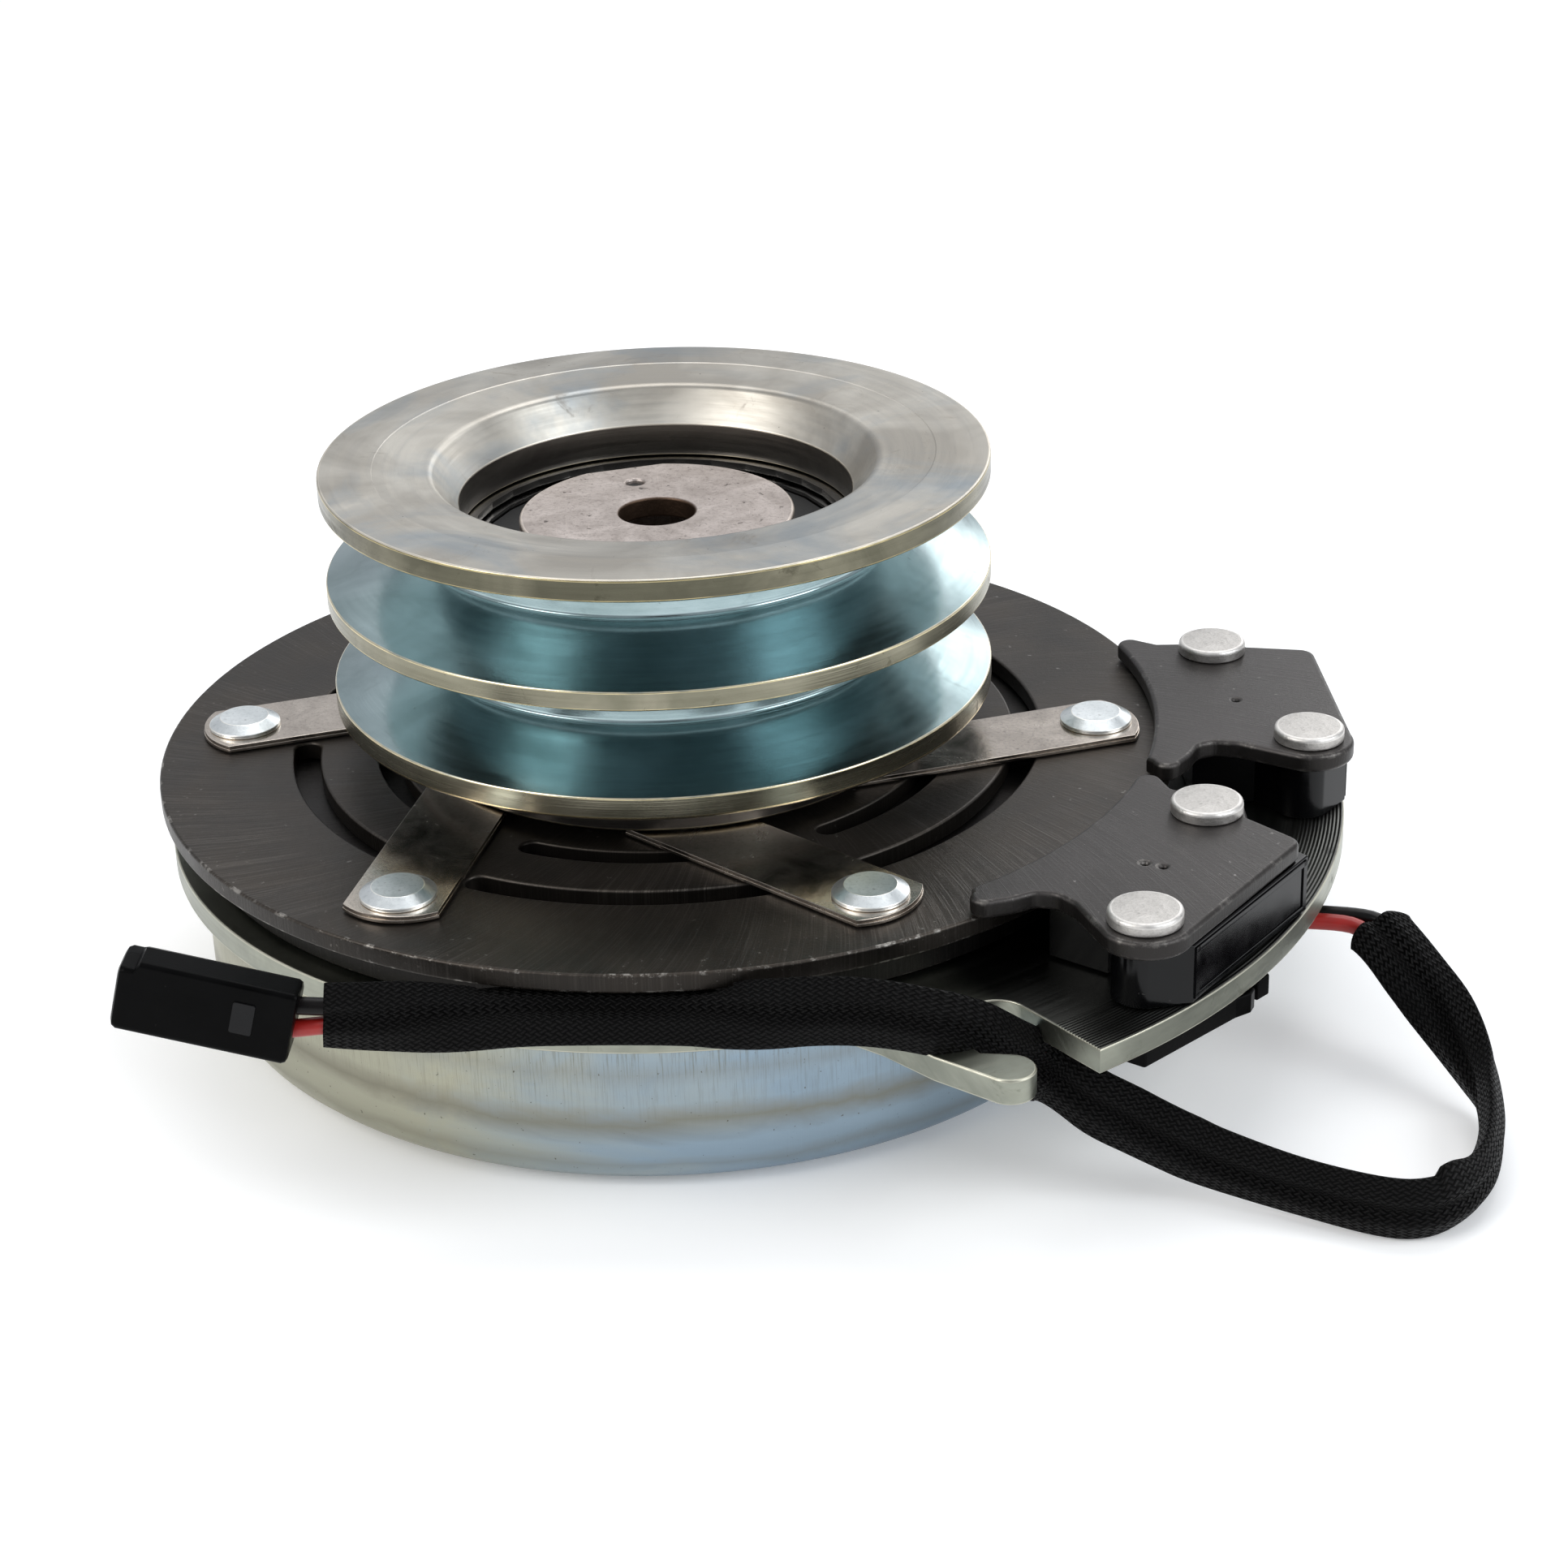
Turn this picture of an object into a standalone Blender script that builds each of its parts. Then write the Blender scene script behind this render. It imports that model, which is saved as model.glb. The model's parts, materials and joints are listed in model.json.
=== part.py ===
"""Electromagnetic power take-off clutch with a two-groove belt pulley.

The field shell stands on the floor at z = 0. The clutch axis is vertical. The two brake poles
lie on the +X side of that axis. Constants are in millimetres; the mesh helpers scale to metres.
"""
import math

import bmesh
import bpy
from mathutils import Vector

MM = 0.001
GAP = 0.3                      # clearance kept between neighbouring pieces

# Axis and stack heights
AXIS_X = -15.5                 # clutch axis, so that the whole object is centred on x = 0
PULLEY_TOP = 100.7
ARMATURE_TOP = 45.8
ARMATURE_T = 3.5
AIR_GAP = 0.6                  # armature underside to rotor face, coil off
ROTOR_FACE = ARMATURE_TOP - ARMATURE_T - AIR_GAP
PLATE_TOP = 34.8
PLATE_T = 4.6
SHELL_TOP = PLATE_TOP - PLATE_T - GAP

# Radii
PULLEY_R = 60.3
GROOVE_ROOT_R = 43.5
PULLEY_BORE_R = 36.3
ARMATURE_R = 93.7
PLATE_R = 92.3
LOBE_R = 125.0                 # part of the plate that carries the brake poles
SHELL_R = 87.4
HUB_LOW_R = 22.5
HUB_TOP_R = 17.5
CRANK_BORE_R = 14.3            # 1 1/8 inch crankshaft
BOLT_HOLE_R = 6.9
KEY_W = 6.4
KEY_DEPTH = 3.1

# Armature springs
SPRINGS = 6
SPRING_PHASE = 14.3            # degrees, first outer rivet
SPRING_RIVET_R = 79.5
SPRING_LEAN = 20.4             # degrees between a spring and the radius through its outer rivet
SPRING_SPAN = 45.0
SPRING_W = 17.0
SPRING_T = 1.3
SPRING_HOLE_R = 2.8
RIVET_SHANK_R = 2.5

# Brake poles
POLE_ANGLES = (19.07, -19.07)
POLE_T = 3.4
POLE_BOTTOM = ARMATURE_TOP + GAP
POLE_TOP = POLE_BOTTOM + POLE_T
POLE_RIVETS = ((104.4, 18.2), (116.0, -22.1))
BRAKE_HEAD_T = 2.3
RETAINER_T = 3.8

# Anti-rotation slot: end of its centre line, its direction and half its width
SLOT_END = (80.5, -70.1)
SLOT_ANGLE = -35.1
SLOT_HALF_W = 5.4
SLOT_WIDER = 4.2                       # on the side of the tongue

# Harness
WIRE_R = 1.5
LEAD_ANGLE = -6.0
LEAD_Z = 24.9
SLEEVE_R = 2.7
PLUG_END = (-26.6, -107.9, 40.2)       # middle of the connector's wire end
PLUG_DIRECTION = (-0.93, -0.25, 0.25)
PLUG_SIZE = (29.0, 8.8, 13.2)          # length, depth, height

SIDES = 40
SMALL_SIDES = 10


# ---------------------------------------------------------------- scene and materials

def clear_scene():
    for item in list(bpy.data.objects):
        bpy.data.objects.remove(item, do_unlink=True)


def make_collection(name):
    group = bpy.data.collections.new(name)
    bpy.context.scene.collection.children.link(group)
    return group


def look(name, colour, roughness, metallic):
    mat = bpy.data.materials.new(name)
    mat.use_nodes = True
    shader = mat.node_tree.nodes["Principled BSDF"]
    shader.inputs["Base Color"].default_value = (*colour, 1.0)
    shader.inputs["Roughness"].default_value = roughness
    shader.inputs["Metallic"].default_value = metallic
    return mat


def make_axis(name):
    """An empty on the clutch axis; everything that turns or slides about it is its child."""
    empty = bpy.data.objects.new(name, None)
    empty.location = (AXIS_X * MM, 0.0, 0.0)
    PARTS.objects.link(empty)
    return empty


def add_object(name, mesh, material, parent=None, group=None):
    obj = bpy.data.objects.new(name, mesh)
    (group or PARTS).objects.link(obj)
    if material:
        mesh.materials.clear()
        mesh.materials.append(material)
    obj.parent = parent
    return obj


def polar(radius, angle):
    return (radius * math.cos(math.radians(angle)), radius * math.sin(math.radians(angle)))


def arc(centre, radius, start, end, count):
    """Points of an arc in degrees, both ends included."""
    step = (end - start) / (count - 1)
    return [
        (centre[0] + polar(radius, start + step * i)[0], centre[1] + polar(radius, start + step * i)[1])
        for i in range(count)
    ]


def circle(centre, radius, count, phase=0.0):
    return arc(centre, radius, phase, phase + 360.0 - 360.0 / count, count)


def turn_points(points, angle, offset=(0.0, 0.0)):
    c, s = math.cos(math.radians(angle)), math.sin(math.radians(angle))
    return [(c * x - s * y + offset[0], s * x + c * y + offset[1]) for x, y in points]


# ---------------------------------------------------------------- shape makers

def turned(name, profile, material, parent=None, sides=SIDES, at=(0.0, 0.0), group=None):
    """Profile of (radius, z) turned about Z; it closes on itself unless it ends on the axis."""
    mesh = bpy.data.meshes.new(name)
    verts = [(r * MM, 0.0, z * MM) for r, z in profile]
    edges = [(i, i + 1) for i in range(len(verts) - 1)]
    if profile[0][0] > 0.0:
        edges.append((len(verts) - 1, 0))
    mesh.from_pydata(verts, edges, [])
    obj = add_object(name, mesh, material, parent, group)
    obj.location = (at[0] * MM, at[1] * MM, 0.0)
    screw = obj.modifiers.new("turn", "SCREW")
    screw.axis = "Z"
    screw.angle = math.tau
    screw.steps = sides
    screw.render_steps = sides
    screw.use_merge_vertices = True
    screw.merge_threshold = 0.00001
    screw.use_smooth_shade = False
    return obj


def ring(name, inner, outer, bottom, top, material, parent=None, sides=SIDES, at=(0.0, 0.0), group=None):
    profile = [(outer, top), (outer, bottom), (inner, bottom), (inner, top)]
    return turned(name, profile, material, parent, sides, at, group)


def disc_cutter(name, radius, bottom, top, at=(0.0, 0.0), sides=SMALL_SIDES):
    profile = [(0.0, top), (radius, top), (radius, bottom), (0.0, bottom)]
    return hide_cutter(turned(name, profile, None, AXIS, sides, at, CUTTERS))


def hide_cutter(obj):
    obj.hide_render = True
    obj.display_type = "WIRE"
    return obj


def settle(obj, material=None):
    """Replace an object by the mesh that its curve or modifiers make, with loose caps welded."""
    bpy.context.view_layer.update()
    seen = obj.evaluated_get(bpy.context.evaluated_depsgraph_get())
    mesh = bpy.data.meshes.new_from_object(seen)
    work = bmesh.new()
    work.from_mesh(mesh)
    bmesh.ops.remove_doubles(work, verts=work.verts, dist=0.000005)
    bmesh.ops.recalc_face_normals(work, faces=work.faces)
    work.to_mesh(mesh)
    work.free()
    name, parent, matrix = obj.name, obj.parent, obj.matrix_world.copy()
    group = obj.users_collection[0]
    bpy.data.objects.remove(obj, do_unlink=True)
    made = add_object(name, mesh, material, parent, group)
    made.name = name
    bpy.context.view_layer.update()
    made.matrix_world = matrix
    return made


def flat(name, loops, bottom, thickness, material, parent=None, group=None):
    """A plate from closed outlines in millimetres; inner outlines are its holes."""
    curve = bpy.data.curves.new(name, "CURVE")
    curve.dimensions = "2D"
    curve.fill_mode = "BOTH"
    curve.extrude = thickness * MM / 2.0
    for loop in loops:
        spline = curve.splines.new("POLY")
        spline.points.add(len(loop) - 1)
        spline.use_cyclic_u = True
        for point, (x, y) in zip(spline.points, loop):
            point.co = (x * MM, y * MM, 0.0, 1.0)
    obj = bpy.data.objects.new(name, curve)
    (group or PARTS).objects.link(obj)
    obj.parent = parent
    obj.location = (0.0, 0.0, (bottom + thickness / 2.0) * MM)
    return settle(obj, material)


def tube(name, points, radius, material, resolution=2):
    """A round cord along points in millimetres, in the object's own frame."""
    curve = bpy.data.curves.new(name, "CURVE")
    curve.dimensions = "3D"
    curve.bevel_depth = radius * MM
    curve.bevel_resolution = resolution
    curve.use_fill_caps = True
    spline = curve.splines.new("POLY")
    spline.points.add(len(points) - 1)
    for point, place in zip(spline.points, points):
        point.co = (place[0] * MM, place[1] * MM, place[2] * MM, 1.0)
    obj = bpy.data.objects.new(name, curve)
    PARTS.objects.link(obj)
    curve.materials.append(material)
    return obj


def box(name, size, centre, material, parent=None, angle=0.0, group=None):
    mesh = bpy.data.meshes.new(name)
    work = bmesh.new()
    bmesh.ops.create_cube(work, size=1.0)
    bmesh.ops.scale(work, vec=Vector(size) * MM, verts=work.verts)
    work.to_mesh(mesh)
    work.free()
    obj = add_object(name, mesh, material, parent, group)
    obj.location = Vector(centre) * MM
    obj.rotation_euler = (0.0, 0.0, math.radians(angle))
    return obj


def cut(obj, cutter, operation="DIFFERENCE"):
    modifier = obj.modifiers.new(cutter.name, "BOOLEAN")
    modifier.operation = operation
    modifier.object = cutter
    return obj


def soften(obj, width, segments=1, angle=35.0):
    bevel = obj.modifiers.new("edge", "BEVEL")
    bevel.width = width * MM
    bevel.segments = segments
    bevel.limit_method = "ANGLE"
    bevel.angle_limit = math.radians(angle)
    return obj


def smooth_path(route, spacing):
    """Even points along a smooth curve through the route's points."""
    ends = [route[0]] + list(route) + [route[-1]]
    fine = []
    for i in range(1, len(ends) - 2):
        p0, p1, p2, p3 = (Vector(ends[i + k]) for k in (-1, 0, 1, 2))
        for k in range(12):
            t = k / 12.0
            fine.append(0.5 * (2 * p1 + (p2 - p0) * t + (2 * p0 - 5 * p1 + 4 * p2 - p3) * t ** 2
                               + (3 * p1 - p0 - 3 * p2 + p3) * t ** 3))
    fine.append(Vector(route[-1]))
    lengths = [0.0]
    for a, b in zip(fine, fine[1:]):
        lengths.append(lengths[-1] + (b - a).length)
    count = max(2, round(lengths[-1] / spacing))
    out, j = [], 0
    for i in range(count + 1):
        want = lengths[-1] * i / count
        while j < len(fine) - 2 and lengths[j + 1] < want:
            j += 1
        part = (want - lengths[j]) / (lengths[j + 1] - lengths[j])
        out.append(fine[j].lerp(fine[j + 1], part))
    return out


# ---------------------------------------------------------------- field: shell, coil, plate

def field_shell():
    """Pressed bowl: outer wall, floor and the tube that holds the lower bearing."""
    wall, floor, corner = 3.4, 3.2, 9.5
    tube_in, tube_out, tube_top = 37.8, 41.5, 23.0
    outer = [(SHELL_R, SHELL_TOP)]
    outer += [(x, z) for x, z in arc((SHELL_R - corner, corner), corner, 0.0, -90.0, 5)]
    inside = arc((SHELL_R - corner, corner), corner - wall, -90.0, 0.0, 3)
    inside = [(x, max(z, floor)) for x, z in inside]
    profile = outer + [(tube_in, 0.0), (tube_in, tube_top), (tube_out, tube_top), (tube_out, floor)]
    profile += inside + [(SHELL_R - wall, SHELL_TOP)]
    shell = turned("field_shell", profile, ZINC, AXIS, 44)
    x, y = polar(SHELL_R, LEAD_ANGLE)
    hole = box("lead_hole", (12.0, 9.6, 9.6), (x, y, LEAD_Z), None, AXIS, LEAD_ANGLE, CUTTERS)
    return cut(shell, hide_cutter(hole))


def lead_grommet():
    """Rubber block in the shell wall; both wires leave through it."""
    x, y = polar(SHELL_R + 0.5, LEAD_ANGLE)
    body = box("lead_grommet", (7.0, 9.0, 9.0), (x, y, LEAD_Z), RUBBER, AXIS, LEAD_ANGLE)
    return soften(body, 1.2)


def coil():
    """Plastic bobbin, open outwards, with the copper winding in it."""
    inner, outer, low, high, skin = 45.5, 77.5, 4.0, 21.5, 1.6
    bobbin = [(outer, high), (outer, high - skin), (inner + skin, high - skin), (inner + skin, low + skin),
              (outer, low + skin), (outer, low), (inner, low), (inner, high)]
    turned("coil_bobbin", bobbin, BOBBIN, AXIS, 32)
    ring("coil_winding", inner + skin + GAP, outer - 1.5, low + skin + GAP, high - skin - GAP,
         COPPER, AXIS, 32)


def slot_point(along, across):
    """A point in the anti-rotation slot's own directions, across being towards the tongue."""
    dx, dy = polar(1.0, SLOT_ANGLE)
    return (SLOT_END[0] + along * dx + across * dy, SLOT_END[1] + along * dy - across * dx)


def plate_outline():
    """Round plate, widened to a lobe under the poles, with a hooked tongue beside the slot."""
    lobe_near, lobe_far, back = -35.6, 38.0, 52.0
    mouth = 18.8
    outline = [slot_point(mouth, -SLOT_HALF_W)]
    outline += arc((0.0, 0.0), LOBE_R, lobe_near, lobe_far, 18)
    outline += arc((0.0, 0.0), PLATE_R, back, 360.0 - 57.0, 36)
    outline += [(56.9, -77.2), (64.0, -79.9), (73.8, -85.2)]
    outline += arc((86.3, -85.3), 4.3, -105.0, 110.0, 10) + [(80.7, -82.0)]
    outline += arc(slot_point(0.0, SLOT_WIDER), SLOT_HALF_W, SLOT_ANGLE - 90.0, SLOT_ANGLE - 180.0, 5)
    outline += arc(SLOT_END, SLOT_HALF_W, SLOT_ANGLE - 180.0, SLOT_ANGLE - 270.0, 5)
    return outline


def field_plate():
    """Zinc plated steel plate on the shell's rim, with holes for the pole rivets."""
    loops = [plate_outline(), circle((0.0, 0.0), SHELL_R - 3.4, 40)]
    for angle in POLE_ANGLES:
        for place in turn_points(POLE_RIVETS, angle):
            loops.append(circle(place, RIVET_SHANK_R + GAP, 8))
    return flat("field_plate", loops, PLATE_TOP - PLATE_T, PLATE_T, ZINC, AXIS)


def bearing(prefix, bore, outside, bottom, top, inner_parent, outer_parent):
    """Deep groove ball bearing: two races, a caged row of balls and the upper seal."""
    balls, sides = 8, 28
    race = 0.30 * (outside - bore) / 2.0 + 0.8
    inner_out, outer_in = bore + race, outside - race
    middle, centre = (inner_out + outer_in) / 2.0, (bottom + top) / 2.0
    ball = (outer_in - inner_out) / 2.0 - GAP
    ring(prefix + "_inner_race", bore, inner_out, bottom, top, STEEL, inner_parent, sides)
    ring(prefix + "_outer_race", outer_in, outside, bottom, top, STEEL, outer_parent, sides)
    cage = ring(prefix + "_ball_cage", middle - 1.2, middle + 1.2, centre - 3.0, centre + 3.0,
                BRASS, outer_parent, sides)
    for i in range(balls):
        x, y = polar(middle, 360.0 * i / balls)
        mesh = bpy.data.meshes.new(f"{prefix}_ball_{i}")
        work = bmesh.new()
        bmesh.ops.create_icosphere(work, subdivisions=1, radius=ball * MM)
        work.to_mesh(mesh)
        work.free()
        sphere = add_object(mesh.name, mesh, None, outer_parent, CUTTERS)
        sphere.location = (x * MM, y * MM, centre * MM)
        cut(cage, hide_cutter(sphere), "UNION")
    ring(prefix + "_seal", inner_out + GAP, outer_in - GAP, top - 2.0, top - 0.8, RUBBER, outer_parent,
         sides)


# ---------------------------------------------------------------- rotor and hub

def keyway(bottom, top):
    cutter = box("keyway", (KEY_DEPTH + 4.0, KEY_W, top - bottom),
                 (CRANK_BORE_R - 4.0 + (KEY_DEPTH + 4.0) / 2.0, 0.0, (bottom + top) / 2.0),
                 None, ROTOR, 0.0, CUTTERS)
    return hide_cutter(cutter)


def rotor_hub():
    """Sintered hub on the crankshaft; the lower part carries the rotor, the upper the pulley."""
    low, step, high, shoulder = 0.6, 57.0, 85.4, 25.5
    profile = [(HUB_TOP_R, high), (HUB_TOP_R, step), (HUB_LOW_R, step), (HUB_LOW_R, ROTOR_FACE - 6.8),
               (shoulder, ROTOR_FACE - 6.8), (shoulder, 20.6), (HUB_LOW_R, 20.6), (HUB_LOW_R, low),
               (CRANK_BORE_R, low), (CRANK_BORE_R, high)]
    hub = turned("rotor_hub", profile, SINTER, ROTOR, 36)
    return cut(hub, keyway(low - 1.0, 50.0))


def arc_slot(radius, half_width, start, end, count=9):
    """A curved slot with rounded ends, from two angles about the axis."""
    head, tail = polar(radius, end), polar(radius, start)
    points = arc((0.0, 0.0), radius + half_width, start, end, count)
    points += arc(head, half_width, end, end + 180.0, 5)[1:-1]
    points += arc((0.0, 0.0), radius - half_width, end, start, count)
    points += arc(tail, half_width, start + 180.0, start + 360.0, 5)[1:-1]
    return points


def rotor():
    """Steel rotor face with flux slots; its rim and inner wall reach down round the coil."""
    disc_t, bore = 6.2, HUB_LOW_R + GAP
    low = ROTOR_FACE - disc_t
    loops = [circle((0.0, 0.0), 88.0, SIDES), circle((0.0, 0.0), bore, 36)]
    for i in range(4):
        loops.append(arc_slot(58.5, 1.6, 90.0 * i + 8.0, 90.0 * i + 80.0))
    flat("rotor_disc", loops, low, disc_t, DARK_STEEL, ROTOR)
    ring("rotor_outer_pole", 79.8, 83.0, 11.0, low - GAP, DARK_STEEL, ROTOR, 36)
    ring("rotor_inner_pole", 42.3, 45.2, 24.5, low - GAP, DARK_STEEL, ROTOR, 28)


def hub_end_disc():
    """Washer over the upper bearing; the crankshaft bolt clamps it. A blind dimple locates it."""
    top, thick, radius, rim = 89.6, 3.9, 24.9, 0.5
    low = top - thick
    profile = [(radius - rim, top), (radius, top - rim), (radius, low), (BOLT_HOLE_R, low),
               (BOLT_HOLE_R, top - rim), (BOLT_HOLE_R + rim, top)]
    disc = turned("hub_end_disc", profile, SINTER, ROTOR)
    dimple = disc_cutter("dimple", 1.7, top - 1.2, top + 1.0, polar(15.8, 124.0), 10)
    flat_side = box("disc_flat", (10.0, 40.0, 10.0), (*polar(radius + 3.9, 124.0), top), None,
                    ROTOR, 124.0, CUTTERS)
    cut(disc, dimple)
    return cut(disc, hide_cutter(flat_side))


def hub_spacer():
    ring("hub_spacer", HUB_TOP_R + GAP, HUB_LOW_R, 57.3, 68.0, SINTER, ROTOR, 32)


# ---------------------------------------------------------------- pulley and armature

def pulley():
    """Turned two-groove pulley; the bore holds the upper bearing under a snap ring."""
    half_top, half_root = 8.1, 1.9
    groove_z = (88.7, 69.15)
    low_rim = 56.9
    base_r, base_z = 45.8, ARMATURE_TOP + GAP + SPRING_T + GAP
    step_r, step_drop, cone_r, cone_z, edge = 50.6, 0.5, 40.3, 93.5, 0.7
    profile = [(step_r, PULLEY_TOP), (PULLEY_R - edge, PULLEY_TOP), (PULLEY_R, PULLEY_TOP - edge)]
    for z in groove_z:
        profile += [(PULLEY_R, z + half_top), (GROOVE_ROOT_R, z + half_root),
                    (GROOVE_ROOT_R, z - half_root), (PULLEY_R, z - half_top)]
    profile += [(PULLEY_R, low_rim), (base_r, low_rim - 1.5), (base_r, base_z)]
    profile += [(PULLEY_BORE_R, base_z), (PULLEY_BORE_R, 85.5), (PULLEY_BORE_R + 1.6, 85.5),
                (PULLEY_BORE_R + 1.6, 87.4), (PULLEY_BORE_R - 0.8, 87.4), (PULLEY_BORE_R - 0.8, cone_z),
                (cone_r, PULLEY_TOP - step_drop), (step_r - 0.3, PULLEY_TOP - step_drop)]
    body = turned("pulley", profile, ZINC_BLUE, PULLEY)
    for i in range(SPRINGS):
        x, y = spring_inner(i)
        hole = disc_cutter(f"pulley_rivet_hole_{i}", RIVET_SHANK_R + GAP, base_z - 1.0, base_z + 4.5, (x, y), 8)
        cut(body, hole)
    return body


def pulley_snap_ring():
    """Internal retaining ring in the pulley bore, open for a short arc."""
    inner, outer, half_gap = PULLEY_BORE_R - 2.6, PULLEY_BORE_R + 1.2, 9.0
    loop = arc((0.0, 0.0), outer, half_gap, 360.0 - half_gap, 30)
    loop += arc((0.0, 0.0), inner, 360.0 - half_gap, half_gap, 30)
    flat("pulley_snap_ring", [loop], 85.8, 1.3, STEEL, PULLEY)


def spring_angle(index):
    return SPRING_PHASE + 360.0 * index / SPRINGS


def spring_inner(index):
    """Place of the rivet that fixes a spring's inner end to the pulley."""
    angle = spring_angle(index)
    x, y = polar(SPRING_RIVET_R, angle)
    dx, dy = polar(SPRING_SPAN, angle + 180.0 + SPRING_LEAN)
    return (x + dx, y + dy)


def leaf_springs():
    """Six leaf packs; each runs inwards from its armature rivet, past the axis on one side."""
    end_reach, half = 7.7, SPRING_W / 2.0
    bow = math.degrees(math.asin(half / 12.5))
    nose = arc((end_reach - 12.5, 0.0), 12.5, -bow, bow, 5)
    tail = arc((-SPRING_SPAN - end_reach + 12.5, 0.0), 12.5, 180.0 - bow, 180.0 + bow, 5)
    for i in range(SPRINGS):
        angle = spring_angle(i)
        place = polar(SPRING_RIVET_R, angle)
        loops = [nose + tail, circle((0.0, 0.0), SPRING_HOLE_R, 8), circle((-SPRING_SPAN, 0.0), SPRING_HOLE_R, 8)]
        loops = [turn_points(loop, angle + SPRING_LEAN, place) for loop in loops]
        flat(f"leaf_spring_{i + 1}", loops, ARMATURE_TOP + GAP, SPRING_T, STAINLESS, ARMATURE)


def armature_plate():
    """Steel friction ring with two rows of flux slots and a scalloped bore."""
    bore, scallop_r = 38.0, 5.4
    bite = math.degrees(math.acos((40.8 ** 2 + bore ** 2 - scallop_r ** 2) / (2 * 40.8 * bore)))
    inside = []
    for i in range(SPRINGS):
        x, y = spring_inner(i)
        centre = math.degrees(math.atan2(y, x))
        radius = math.hypot(x, y)
        start, end = polar(bore, centre - bite), polar(bore, centre + bite)
        first = math.degrees(math.atan2(start[1] - y, start[0] - x))
        last = math.degrees(math.atan2(end[1] - y, end[0] - x))
        while last < first:
            last += 360.0
        inside += arc((x, y), scallop_r, first, last, 8)
        inside += arc((0.0, 0.0), bore, centre + bite + 6.0, centre + 60.0 - bite - 6.0, 4)
    loops = [circle((0.0, 0.0), ARMATURE_R, 56), inside]
    for i in range(SPRINGS):
        turn = 60.0 * i
        loops.append(arc_slot(66.8, 2.4, 20.2 + turn, 66.0 + turn, 6))
        loops.append(arc_slot(51.7, 2.1, 21.8 + turn, 66.5 + turn, 5))
        loops.append(circle(polar(SPRING_RIVET_R, spring_angle(i)), SPRING_HOLE_R, 8))
    return flat("armature_plate", loops, ARMATURE_TOP - ARMATURE_T, ARMATURE_T, PHOSPHATE, ARMATURE)


def rivets():
    """Armature rivets with bevelled heads, pulley rivets with thin heads under the springs."""
    leaf_top = ARMATURE_TOP + GAP + SPRING_T
    head_low = leaf_top + GAP
    for i in range(SPRINGS):
        profile = [(0.0, 49.4), (4.4, 49.4), (6.6, 48.3), (6.6, head_low), (RIVET_SHANK_R, head_low),
                   (RIVET_SHANK_R, ARMATURE_TOP - ARMATURE_T + 0.4), (0.0, ARMATURE_TOP - ARMATURE_T + 0.4)]
        turned(f"armature_rivet_{i + 1}", profile, RIVET_ZINC, ARMATURE, SMALL_SIDES,
               polar(SPRING_RIVET_R, spring_angle(i)))
        base = leaf_top + GAP
        under = ARMATURE_TOP
        profile = [(0.0, base + 4.0), (RIVET_SHANK_R, base + 4.0), (RIVET_SHANK_R, under), (4.6, under),
                   (4.6, under - 1.3), (0.0, under - 1.3)]
        turned(f"pulley_rivet_{i + 1}", profile, RIVET_ZINC, PULLEY, SMALL_SIDES, spring_inner(i))


# ---------------------------------------------------------------- brake: blocks, magnets, poles

def pole_outline():
    """Pole shape in its own directions: +X outwards, an inner arc that follows the armature."""
    boss_a, boss_b = POLE_RIVETS
    points = arc((0.0, 0.0), 90.2, -17.8, 14.6, 9)
    points += arc((89.5, 23.6), 2.4, 185.0, 50.0, 4)
    points += [(94.5, 23.0)]
    points += arc(boss_a, 7.0, 140.0, 52.0, 5)
    points += [(111.5, 20.0)]
    points += arc((120.6, 14.9), 3.0, 80.0, 0.0, 3)
    points += arc(boss_b, 8.1, 10.0, -112.0, 7)
    points += [(107.8, -26.2), (103.0, -23.0), (99.0, -21.9), (95.8, -23.2), (93.8, -27.2)]
    points += arc((89.4, -28.7), 2.6, -20.0, -175.0, 5)
    return points


def block_outline():
    """Magnet housing: a slab on the rim side, two rivet columns and a wall towards the armature."""
    column = 5.4
    boss_a, boss_b = POLE_RIVETS
    points = [(123.6, -19.3), (123.6, 19.3)]
    points += arc(boss_a, column, 40.0, 160.0, 6)
    points += [(96.8, 17.0), (95.8, 15.0), (95.6, -18.6), (107.0, -18.6)]
    points += arc((115.2, -21.0), column, 195.0, 310.0, 6)
    return points


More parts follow.
